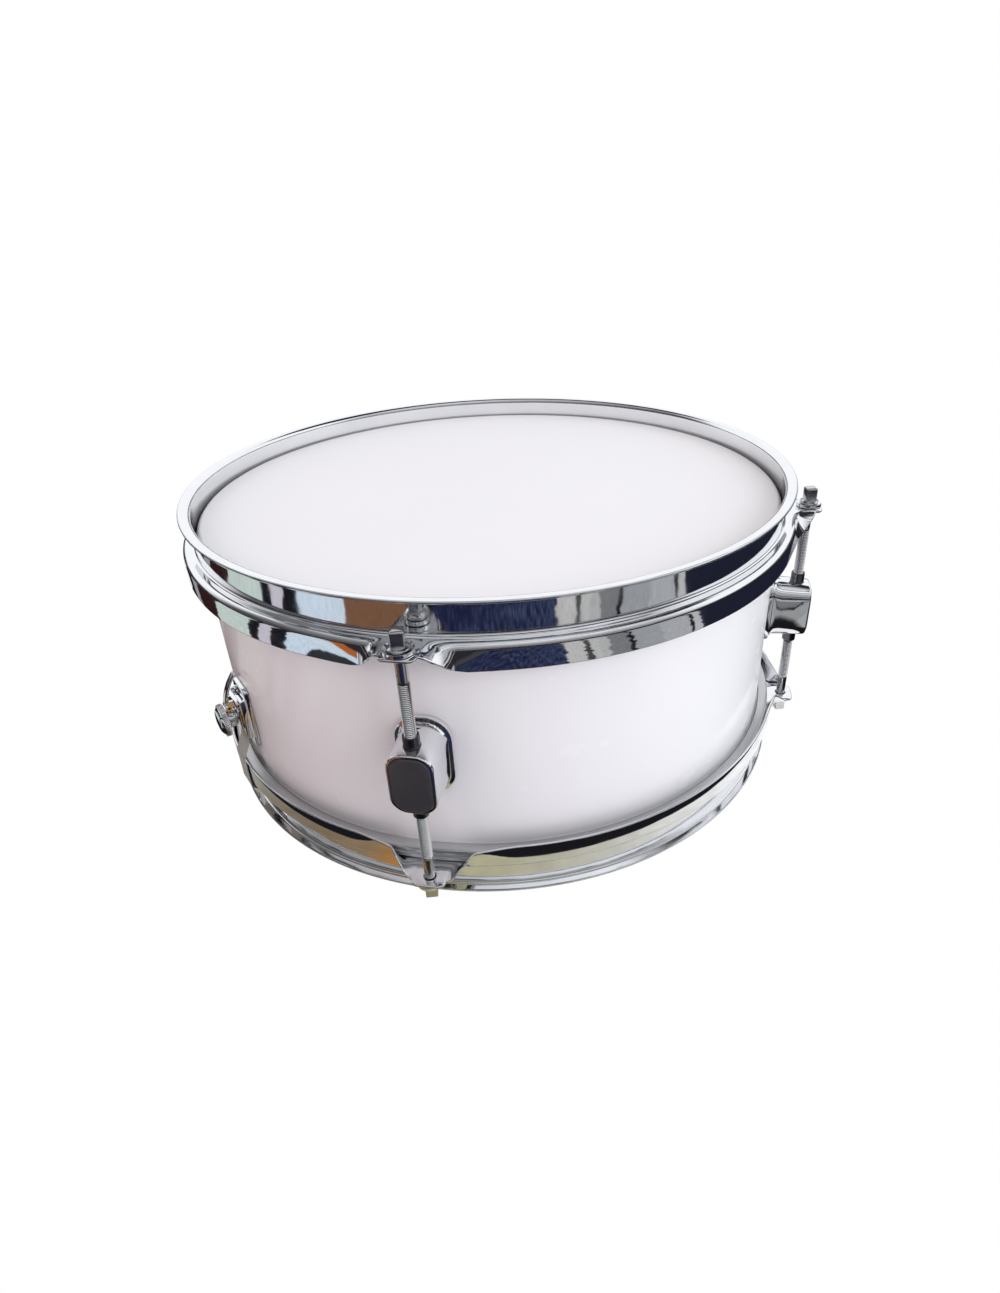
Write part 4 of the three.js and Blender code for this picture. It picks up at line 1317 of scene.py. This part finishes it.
rod_steel = metal_finish("rod_steel", 160, 4, (0.50, 0.50, 0.51), (0.70, 0.70, 0.71), 0.10, 0.16)
thread_steel = metal_finish("thread_steel", 150, 4, (0.66, 0.66, 0.67), (0.82, 0.82, 0.83), 0.14, 0.16)
core_radius = thread_radius - thread_pitch / 2
core = soften([(0, rod_end), (core_radius, rod_end), (core_radius, thread_top), (0, thread_top)],
              core_edges, 4, False)
stem = soften([
    (0, thread_top - shank_sink),
    (shank_radius - shank_taper, thread_top - shank_sink),
    (shank_radius, thread_top + shank_shoulder),
    (shank_radius, flange_bottom),
    (flange_radius, flange_bottom),
    (flange_radius, flange_bottom + flange_side),
    (flange_radius - flange_dome, flange_top),
    (key_flats / 2, flange_top + key_sink),
    (0, flange_top + key_sink),
], stem_edges, 4, False)
key_rings = [(flange_top - flange_thickness / 2, square(0))]
for below_top, inset in ((1.1 * mm, 0), (0.5 * mm, 0.12 * mm), (0.15 * mm, 0.5 * mm), (0, 1.2 * mm)):
    key_rings.append((key_top - below_top, square(inset)))
rod_parts = [
    smooth(painted(turned("rod_stem", [tuple(p) for p in stem], 48), rod_steel), 50),
    smooth(painted(turned("rod_core", [tuple(p) for p in core], 48), dark_steel), 50),
    cut_thread("rod_thread", thread_steel, thread_radius, thread_pitch, rod_end, thread_top),
    smooth(painted(axial_loft("rod_key", key_rings), rod_steel), 45),
]
rod = merge("rod_master", rod_parts)
washer_outline = soften([
    (thread_radius + gap, washer_bottom),
    (washer_radius, washer_bottom),
    (washer_radius, washer_top + washer_rim_height),
    (washer_radius - washer_rim_width, washer_top),
    (thread_radius + gap, washer_top),
], washer_edges, 4)
washer = painted(smooth(turned("cup_washer", [tuple(p) for p in washer_outline], 64), 50), small_chrome)
for place, degrees in lug_angles.items():
    for end, sign in end_signs.items():
        frame_here = rod_frame(degrees, sign)
        screwed = copy_to(rod, f"rod_{place}_{end}_detail", frame_here)
        deliver(screwed, f"rod_{place}_{end}", f"tension_rod_{place}_{end}")
        cup = copy_to(washer, f"cup_washer_{place}_{end}", frame_here)
        deliver(cup, f"washer_{place}_{end}", f"rod_washer_{place}_{end}")
bpy.data.objects.remove(rod)
bpy.data.objects.remove(washer)


# Shell screws
# Flanged hex screws hold the lugs and the strainer from inside the shell.

screw_flange_radius = 5.2 * mm
screw_flange_thickness = 1.2 * mm
screw_hex_radius = 4 * mm
screw_hex_height = 2.8 * mm
screw_pitch = 0.7 * mm
screw_seat_depth = 0.66 * mm
screw_edges = [0, 0.5 * mm, 0.3 * mm, 0.2 * mm, 0.5 * mm, 0]
hex_corner = 0.4 * mm
hex_chamfer = 0.6 * mm
hex_chamfer_height = 0.5 * mm
thread_start = 0.5 * mm
thread_stop = 0.2 * mm
foot_plate = 2.2 * mm
foot_face = shell_radius + gap + foot_plate
screw_seat = shell_inner - screw_seat_depth


def hexagon(size):
    return [(math.cos(k * math.pi / 3) * size, math.sin(k * math.pi / 3) * size) for k in range(6)]


def shell_screw(name, reach, angle, height):
    """A flanged hex screw from inside the shell, whose point is at the given radius."""
    flange_low = screw_seat - screw_flange_thickness
    hex_low = flange_low - screw_hex_height
    root = screw_radius - screw_pitch / 2
    stem = soften([
        (0, flange_low),
        (screw_flange_radius, flange_low),
        (screw_flange_radius, screw_seat),
        (root, screw_seat),
        (root, reach),
        (0, reach),
    ], screw_edges, 3, False)
    head = []
    for level, size in (
        (hex_low, screw_hex_radius - hex_chamfer),
        (hex_low + hex_chamfer_height, screw_hex_radius),
        (screw_seat - screw_flange_thickness / 2, screw_hex_radius),
    ):
        head.append((level, [tuple(p) for p in soften(hexagon(size), hex_corner, 2)]))
    thread_low = screw_seat + thread_start
    screw = merge(name, [
        smooth(painted(turned("screw_stem", [tuple(p) for p in stem], 28), dark_steel), 50),
        smooth(painted(axial_loft("screw_head", head), dark_steel), 30),
        cut_thread("screw_thread", dark_steel, screw_radius, screw_pitch, thread_low, reach - thread_stop),
    ])
    screw.data.transform(Matrix.Rotation(math.pi / 2, 4, "Y"))
    screw.data.transform(Matrix.Rotation(angle, 4, "Z") @ Matrix.Translation((0, 0, height)))
    return screw


for place, degrees in lug_angles.items():
    for end, sign in end_signs.items():
        height = mid_height + sign * lug_screw_spacing / 2
        point = shell_radius + screw_bite
        screw = shell_screw(f"hex_screw_{place}_{end}", point, math.radians(degrees), height)
        deliver(screw, "drum", f"lug_screw_{place}_{end}")
for end, height in strainer_screw_heights.items():
    screw = shell_screw(f"hex_screw_strainer_{end}", foot_face - gap, strainer_angle, height)
    deliver(screw, "drum", f"strainer_screw_{end}")


# Strainer bracket
# A foot on the shell with two rails that hold the slider. A bridge across the rails has two ears, and the
# lever's pin goes through them.

cheek_inner = 8.7 * mm
cheek_wall = 1.6 * mm
bracket_below = 20 * mm
bracket_above = 20 * mm
rail_below = 11 * mm
rail_above = 13 * mm
rail_lip = 1.3 * mm
rail_lip_thickness = 1 * mm
rail_sink = 0.6 * mm
rail_flare = 1.4 * mm
rail_edge = 0.22 * mm
bridge_drop = 2.8 * mm
bridge_thickness = 1.5 * mm
bridge_edge = 0.4 * mm
bridge_sink_share = 0.4
neck_inset = 0.5 * mm
foot_corner = 3.2 * mm
foot_side = 0.5 * mm
slider_thickness = 2 * mm
pivot_ear = 1.8 * mm
pivot_ear_thickness = 1.4 * mm
pivot_radius = 0.7 * mm
pivot_clearance = 0.15 * mm
pin_edge = 0.2 * mm
pivot_out = 10.6 * mm
pivot_rise = 8.2 * mm
lever_width = 3.8 * mm
pivot = Vector((shell_radius + pivot_out, strainer_height + pivot_rise))
slider_face = foot_face + gap + slider_thickness
cheek_outer = cheek_inner + cheek_wall
rail_face = slider_face + gap + rail_lip_thickness
bridge_face = rail_face + bridge_thickness
pivot_ear_inner = lever_width / 2 + gap
pivot_ear_outer = pivot_ear_inner + pivot_ear_thickness
bracket_bottom = strainer_height - bracket_below
bracket_top = strainer_height + bracket_above
rail_bottom = strainer_height - rail_below
rail_top = strainer_height + rail_above
at_strainer = Matrix.Rotation(strainer_angle, 4, "Z")


def side_piece(name, outline, half_width):
    """A plate whose side outline, of (reach, height), lies in the radial plane."""
    return skinned(name, [[(x, side, z) for x, z in outline] for side in (-half_width, half_width)])


def cross_rod(name, radius, half_length, centre, sides=28, edge=0.0):
    """A round bar across the radial plane, whose ends may have a rounded edge."""
    profile = soften([(0, -half_length), (radius, -half_length), (radius, half_length), (0, half_length)],
                     [0, edge, edge, 0], 3, False)
    bar = turned(name, [tuple(p) for p in profile], sides)
    bar.data.transform(Matrix.Rotation(math.pi / 2, 4, "X"))
    bar.data.transform(Matrix.Translation((centre.x, 0, centre.y)))
    return bar


def foot_rings(width, height, corner, face):
    """Rings of a foot that follows the shell at the back and is flat, with soft edges, in front."""

    def ring(inset, corner_inset):
        return rounded_outline(width - 2 * inset, height - 2 * inset, corner - corner_inset)

    return [
        (on_shell, ring(0, 0)),
        (face - foot_side, ring(0, 0)),
        (face - 0.12 * mm, ring(0.175 * mm, 0.1 * mm)),
        (face, ring(0.55 * mm, 0.3 * mm)),
    ]


foot_outline_rings = foot_rings(2 * cheek_outer, bracket_top - bracket_bottom, foot_corner, foot_face)
foot = radial_loft("strainer_foot", foot_outline_rings, (bracket_top + bracket_bottom) / 2)
rails = side_piece("strainer_rails", soften([
    (foot_face - rail_sink, rail_bottom - rail_flare),
    (rail_face, rail_bottom),
    (rail_face, rail_top),
    (foot_face - rail_sink, rail_top + rail_flare),
], [0, rail_flare, rail_flare, 0], 4), cheek_outer)
slot_back, mouth_front = foot_face - cut_overrun, rail_face + cut_overrun
rails = cut(rails, box_piece(
    "rail_slot", slot_back, slider_face + gap, cheek_inner, bracket_bottom, bracket_top))
rails = cut(rails, box_piece(
    "rail_mouth", slider_face, mouth_front, cheek_inner - rail_lip, bracket_bottom, bracket_top))
rails = bevelled(rails, rail_edge)
bridge = bevelled(box_piece(
    "strainer_bridge", slider_face + gap, bridge_face, cheek_outer, rail_top - bridge_drop, rail_top,
), bridge_edge, 3)
neck_back = rail_face + bridge_thickness * bridge_sink_share
neck = box_piece("ear_neck", neck_back, pivot.x, pivot_ear_outer, pivot.y + gap, rail_top - neck_inset)
ears = unite(neck, cross_rod("ear_round", pivot_ear, pivot_ear_outer, pivot))
ears = cut(ears, box_piece("lever_way", bridge_face, rod_circle, pivot_ear_inner, rail_bottom, bracket_top))
ears = cut(ears, cross_rod("pin_hole", pivot_radius + pivot_clearance, cheek_outer, pivot))
bracket = foot
for part in (rails, bridge, ears):
    bracket = unite(bracket, part)
for height in strainer_screw_heights.values():
    tap = drill("foot_tap", screw_radius + gap, shell_inner, foot_face + cut_overrun, 0, height, 24)
    bracket = cut(bracket, tap)
bracket.name = "strainer_frame"
bracket.data.transform(at_strainer)
smooth(painted(bracket, small_chrome), 32)
deliver(bracket, "drum", "strainer_bracket")
pin = cross_rod("lever_pin", pivot_radius, pivot_ear_outer, pivot, 24, pin_edge)
pin.data.transform(at_strainer)
smooth(painted(pin, dark_steel), 50)
deliver(pin, "drum", "lever_pivot_pin")


# Throw-off lever
# A narrow bowed bar with round edges, which rises from a barrel on the pin and leans back to the shell.

lever_thickness = 2 * mm
lever_rise = 19.7 * mm
lever_lean = 7.9 * mm
lever_barrel = 1.7 * mm
lever_side_clearance = 0.05 * mm
lever_corner = 0.7 * mm
barrel_edge = 0.3 * mm
bow_bend = 2.2 * mm
bow_shares = [(0, 0), (0.08, 0.16), (-0.07, 0.35), (-0.28, 0.57), (-0.57, 0.78), (-1, 1)]
tip_place_shares = (0.55, 0.75, 0.9, 0.97)
tip_width_shares = (0.45, 0.72, 0.88, 0.96)


def swept_bar(name, line, width, thickness, corner, end_shares=()):
    """A bar with a rounded section along a line in the radial plane. end_shares narrows its last stations."""
    outline = rounded_outline(width, thickness, corner, 4)
    rings = []
    for i, here in enumerate(line):
        along = (line[min(i + 1, len(line) - 1)] - line[max(i - 1, 0)]).normalized()
        out = Vector((along.y, -along.x))
        left = len(line) - 1 - i
        share = end_shares[left] if left < len(end_shares) else 1
        ring = []
        for across, rise in outline:
            at = here + out * rise * min(1, share + 0.25)
            ring.append((at.x, across * share, at.y))
        rings.append(ring)
    return skinned(name, rings)


bow = [Vector((pivot.x + out * lever_lean, pivot.y + rise * lever_rise)) for out, rise in bow_shares]
bow_line = soften(bow, bow_bend, 6, False)
bar_start = pivot + (bow_line[1] - pivot).normalized() * (lever_barrel + pivot_radius) / 2
tip_line = [bow_line[-2].lerp(bow_line[-1], share) for share in tip_place_shares]
bar_line = [bar_start] + bow_line[1:-1] + tip_line + [bow_line[-1]]
bar_width = lever_width - 2 * lever_side_clearance
lever_bar = swept_bar("throw_off_bar", bar_line, bar_width, lever_thickness, lever_corner, tip_width_shares)
barrel = cross_rod("lever_barrel", lever_barrel, lever_width / 2, pivot, 36, barrel_edge)
barrel = cut(barrel, cross_rod("lever_bore", pivot_radius + pivot_clearance, lever_width, pivot))
lever = unite(lever_bar, barrel)
lever.name = "throw_off_lever"
lever.data.transform(at_strainer)
smooth(painted(lever, small_chrome), 40)
deliver(lever, "lever", "strainer_lever")


# Slider, clamp plate and thumbscrew
# The slider runs between the rails, and the knurled thumbscrew presses the clamp plate and the strap on it.

thumb_shaft = 2 * mm
clamp_thickness = 1.2 * mm
clamp_width = 13 * mm
clamp_height = 15 * mm
clamp_corner = 2.5 * mm
plate_edge = 0.3 * mm
slider_corner = 3 * mm
slider_above = 11 * mm
slider_below = 13 * mm
strap_thickness = 0.6 * mm
clamp_face = slider_face + 2 * gap + strap_thickness
clamp_outer = clamp_face + clamp_thickness
thumb_hub = 5.5 * mm
thumb_hub_length = 5.5 * mm
thumb_disc = 9.8 * mm
thumb_disc_thickness = 3 * mm
thumb_dome = 7 * mm
thumb_dome_height = 2 * mm
knurls = 60
knurl_depth = 0.35 * mm
knurl_wave_shares = (0, 0.5, 1, 0.5)
disc_chamfer = 0.5 * mm
disc_chamfer_height = 0.4 * mm
neck_depth = 0.7 * mm
neck_length = 0.8 * mm
neck_slope = 0.4 * mm
hub_edges = [0, 0.25 * mm, 0.2 * mm, 0.3 * mm, 0, 0]
hub_sink = 0.5 * mm
shaft_chamfer = 0.4 * mm
shaft_sink = 1 * mm


def plate_piece(name, width, height, corner, near, far, centre):
    """A flat plate on the radial line with rounded corners and softened edges."""

    def ring(reach, inset_share, corner_share):
        inset = 2 * plate_edge * inset_share
        return reach, rounded_outline(width - inset, height - inset, corner - plate_edge * corner_share)

    rings = [
        ring(near, 1, 0.5),
        ring(near + plate_edge, 0, 0),
        ring(far - plate_edge, 0, 0),
        ring(far - plate_edge * 0.3, 0.3, 0.2),
        ring(far, 1, 0.5),
    ]
    return radial_loft(name, rings, centre)


def with_thumb_hole(piece):
    """The piece with the thumbscrew's clearance hole in it."""
    hole = drill("thumb_hole", thumb_shaft + gap, shell_radius, rod_circle, 0, strainer_height, 28)
    return cut(piece, hole)


slider_height = slider_above + slider_below
slider_centre = strainer_height + (slider_above - slider_below) / 2
slider_width = 2 * (cheek_inner - gap)
slider = with_thumb_hole(plate_piece(
    "strap_carrier", slider_width, slider_height, slider_corner, foot_face + gap, slider_face, slider_centre))
clamp = with_thumb_hole(plate_piece(
    "clamp_cover", clamp_width, clamp_height, clamp_corner, clamp_face, clamp_outer, strainer_height))
for plate in (slider, clamp):
    plate.data.transform(at_strainer)
    smooth(painted(plate, small_chrome), 32)
deliver(slider, "slider", "strap_slider")
deliver(clamp, "clamp", "strap_clamp_plate")


def knurled_ring(radius, depth):
    ring = []
    for k in range(4 * knurls):
        turn = 2 * math.pi * k / (4 * knurls)
        here = radius - depth * knurl_wave_shares[k % 4]
        ring.append((here * math.cos(turn), here * math.sin(turn)))
    return ring


hub_from = clamp_outer + gap
hub_to = hub_from + thumb_hub_length
disc_to = hub_to + thumb_disc_thickness
rim_rings = [
    (hub_to, knurled_ring(thumb_disc - disc_chamfer, 0)),
    (hub_to + disc_chamfer_height, knurled_ring(thumb_disc, knurl_depth)),
    (disc_to - disc_chamfer_height, knurled_ring(thumb_disc, knurl_depth)),
    (disc_to, knurled_ring(thumb_disc - disc_chamfer, 0)),
    (disc_to + 0.1 * mm, knurled_ring(thumb_dome + 1.6 * mm, 0)),
]
for rise_share, spread in ((0.5, 0.5 * mm), (0.85, -1 * mm), (1, -3 * mm)):
    rim_rings.append((disc_to + thumb_dome_height * rise_share, knurled_ring(thumb_dome + spread, 0)))
disc = radial_loft("thumb_disc", rim_rings, strainer_height)
hub_profile = soften([
    (0, hub_from),
    (thumb_hub - neck_depth, hub_from),
    (thumb_hub - neck_depth, hub_from + neck_length),
    (thumb_hub, hub_from + neck_length + neck_slope),
    (thumb_hub, hub_to + hub_sink),
    (0, hub_to + hub_sink),
], hub_edges, 3, False)
hub = turned("thumb_hub", [tuple(p) for p in hub_profile], 56)
shaft_from, shaft_to = foot_face + gap, hub_from + shaft_sink
shaft_profile = [
    (0, shaft_from),
    (thumb_shaft - shaft_chamfer, shaft_from),
    (thumb_shaft, shaft_from + shaft_chamfer),
    (thumb_shaft, shaft_to),
    (0, shaft_to),
]
shaft = turned("thumb_shaft", shaft_profile, 28)
for part in (hub, shaft):
    part.data.transform(Matrix.Translation((0, 0, strainer_height)) @ Matrix.Rotation(math.pi / 2, 4, "Y"))
knurled_chrome = chrome_finish("thumbscrew_chrome", 0.03 * mm, 120)
for part in (disc, hub, shaft):
    smooth(painted(part, knurled_chrome), 40)
thumbscrew = merge("knurled_thumbscrew", [disc, hub, shaft])
thumbscrew.data.transform(at_strainer)
deliver(thumbscrew, "thumbscrew", "clamp_thumbscrew")


# Straps
# Thin plastic strips that pull the snares. Each runs out under the edge and through the hoop's gate, turns
# up outside the hoop and slants in to its clamp.

strap_width = 14 * mm
strap_corner = 0.12 * mm
strap_bend = 1.8 * mm
strap_standoff = 0.5 * mm
strap_lap = 10 * mm
strap_tail = 8 * mm
slant_height = 10.5 * mm
slant_below = 8.5 * mm
gate_rise = 1 * mm
plate_inset = 16 * mm
plate_reach = shell_inner - plate_inset
strand_size = 1.8 * mm
plate_thickness = 1.6 * mm
snare_film_face = shell_bottom - gap - film
plate_bottom = snare_film_face - gap - strand_size - plate_thickness / 2
strap_outer_face = skirt_outer + strap_standoff
strap_clamp_centre = slider_face + gap + strap_thickness / 2
strap_under = plate_bottom - gap - strap_thickness / 2
strap_outside = strap_outer_face + strap_thickness / 2
slant_top = strainer_height - clamp_height / 2 - slant_below
strap_path = soften([
    (plate_reach - strap_lap, strap_under),
    (shell_radius, strap_under),
    (strap_outside, band_height - gate_rise),
    (strap_outside, slant_top - slant_height),
    (strap_clamp_centre, slant_top),
    (strap_clamp_centre, strainer_height + strap_tail),
], strap_bend, 6, False)
strap_plastic = Finish("strap_plastic")
strap_clouds = strap_plastic.noise(60, 4)
strap_plastic.set(
    Base_Color=strap_plastic.mix(strap_clouds, (0.34, 0.34, 0.32), (0.46, 0.46, 0.43)),
    Roughness=0.30 + strap_clouds * 0.18,
    Normal=strap_plastic.bump(strap_plastic.noise(400, 2), 0.01 * mm, 0.4),
)
strap_plastic.set(Subsurface_Weight=0.15, Subsurface_Radius=(1 * mm, 1 * mm, 1 * mm))
for name, angle, body, node in (
    ("strainer_strip", strainer_angle, "slider", "strainer_strap"),
    ("butt_strip", butt_angle, "drum", "butt_strap"),
):
    strip = swept_bar(name, strap_path, strap_width, strap_thickness, strap_corner)
    if body == "slider":
        strip = with_thumb_hole(strip)
    strip.data.transform(Matrix.Rotation(angle, 4, "Z"))
    smooth(painted(strip, strap_plastic), 40)
    deliver(strip, body, node)


# Snare wires
# Sixteen fine coils soldered into an end plate on each side. The coils are one geometry-node spiral
# repeated across the head.

strand_count = 16
strand_pitch = 2.6 * mm
strand_wire = 0.22 * mm
coil_pitch = 2.2 * mm
end_plate_length = 11 * mm
end_plate_corner = 1.4 * mm
end_plate_rings = [(0, 0.35), (0.15, 0.1), (0.35, 0), (1.25, 0), (1.45, 0.1), (1.6, 0.35)]
coil_recipe = Recipe("snare_coils", {
    "Radius": "NodeSocketFloat", "Pitch": "NodeSocketFloat", "Length": "NodeSocketFloat",
    "Count": "NodeSocketInt", "Spacing": "NodeSocketFloat",
})
coil_given = coil_recipe.given
coil = spiral_wire(
    coil_recipe, coil_given["Radius"], coil_given["Pitch"], coil_given["Length"], 9, strand_wire, 4)
half_length = coil_recipe.maths("MULTIPLY", coil_given["Length"], -0.5)
start = coil_recipe.node("ShaderNodeCombineXYZ", None, {"X": half_length})
lying = coil_recipe.node("GeometryNodeTransform", None, {
    "Geometry": coil, "Translation": start, "Rotation": (0, math.pi / 2, 0),
})
first_place = coil_recipe.maths("MULTIPLY", coil_recipe.maths("SUBTRACT", coil_given["Count"], 1),
                                coil_recipe.maths("MULTIPLY", coil_given["Spacing"], -0.5))
row = coil_recipe.node("GeometryNodeMeshLine", {"mode": "OFFSET"}, {
    "Count": coil_given["Count"],
    "Start Location": coil_recipe.node("ShaderNodeCombineXYZ", None, {"Y": first_place}),
    "Offset": coil_recipe.node("ShaderNodeCombineXYZ", None, {"Y": coil_given["Spacing"]}),
})
coil_recipe.yields(coil_recipe.node("GeometryNodeInstanceOnPoints", None, {"Points": row, "Instance": lying}))
snare_steel = metal_finish("snare_steel", 200, 3, (0.58, 0.58, 0.59), (0.74, 0.74, 0.75), 0.22, 0.18)
coils = coil_recipe.make("snare_coils", snare_steel, {
    "Radius": strand_size / 2 - strand_wire, "Pitch": coil_pitch,
    "Length": 2 * (plate_reach - end_plate_length / 4), "Count": strand_count, "Spacing": strand_pitch,
})
coils.data.transform(Matrix.Translation((0, 0, snare_film_face - gap - strand_size / 2)))
smooth(coils, 60)
snare_parts = [coils]
plate_width = (strand_count - 1) * strand_pitch + strand_size + strand_pitch
for side in (-1, 1):
    centre = side * (plate_reach - end_plate_length / 2)
    rings = []
    for rise, inset in end_plate_rings:
        trim = 2 * inset * mm
        outline = rounded_outline(end_plate_length - trim, plate_width - trim, end_plate_corner - trim / 2, 4)
        rings.append((plate_bottom + rise * mm, outline))
    end_plate = axial_loft("snare_end_plate", rings)
    end_plate.data.transform(Matrix.Translation((centre, 0, 0)))
    snare_parts.append(smooth(painted(end_plate, snare_steel), 40))
snares = merge("snare_set", snare_parts)
snares.data.transform(at_strainer)
deliver(snares, "snares", "snare_wires")


# Butt end
# A block screwed to the far side of the shell, and a bar that two socket-headed screws press on the strap.

butt_width = 32 * mm
butt_half_height = 14 * mm
bar_height = 12 * mm
bar_thickness = 1.8 * mm
bar_head = 3.4 * mm
bar_head_height = 2.2 * mm
bar_face = clamp_face + bar_thickness
bar_bite = 3.2 * mm
bar_corner = 2.5 * mm
bar_head_sink = 0.5 * mm
bar_screw_edges = [0, 0.4 * mm, 0, 0, 0.5 * mm, 0]
socket_radius = 1.8 * mm
socket_depth = 1.3 * mm
seat_corner = 4 * mm
bar_screw_places = [sign * (strap_width / 2 + bar_head) for sign in (-1, 1)]
at_butt = Matrix.Rotation(butt_angle, 4, "Z")
seat_rings = foot_rings(butt_width, 2 * butt_half_height, seat_corner, slider_face)
block = radial_loft("butt_seat", seat_rings, strainer_height)
tap_from, tap_to = slider_face - bar_bite - gap, slider_face + cut_overrun
for across in bar_screw_places:
    tap = drill("bar_tap", screw_radius + gap, tap_from, tap_to, 0, strainer_height, 24)
    tap.data.transform(Matrix.Translation((0, across, 0)))
    block = cut(block, tap)
smooth(painted(block, small_chrome), 32)
butt_parts = [block]
for height in butt_screw_heights:
    butt_parts.append(shell_screw("butt_screw", slider_face - foot_plate, 0, height))
butt_base = merge("butt_base", butt_parts)
butt_base.data.transform(at_butt)
deliver(butt_base, "drum", "butt_block")

bar_parts = [plate_piece(
    "butt_bar_plate", butt_width, bar_height, bar_corner, clamp_face, bar_face, strainer_height)]
head_from, head_to = bar_face - bar_head_sink, bar_face + bar_head_height
bar_screw_profile = soften([
    (0, slider_face - bar_bite),
    (screw_radius, slider_face - bar_bite),
    (screw_radius, head_from),
    (bar_head, head_from),
    (bar_head, head_to),
    (0, head_to),
], bar_screw_edges, 3, False)
socket_rings = [(reach, hexagon(socket_radius)) for reach in (head_to - socket_depth, head_to + cut_overrun)]
for across in bar_screw_places:
    top_screw = turned("bar_screw", [tuple(p) for p in bar_screw_profile], 40)
    to_place = Matrix.Translation((0, across, strainer_height))
    top_screw.data.transform(to_place @ Matrix.Rotation(math.pi / 2, 4, "Y"))
    socket = radial_loft("bar_socket", socket_rings, strainer_height)
    socket.data.transform(Matrix.Translation((0, across, 0)))
    bar_parts.append(cut(top_screw, socket))
for part in bar_parts:
    smooth(painted(part, small_chrome), 35)
butt_bar = merge("butt_bar", bar_parts)
butt_bar.data.transform(at_butt)
deliver(butt_bar, "drum", "butt_clamp_bar")
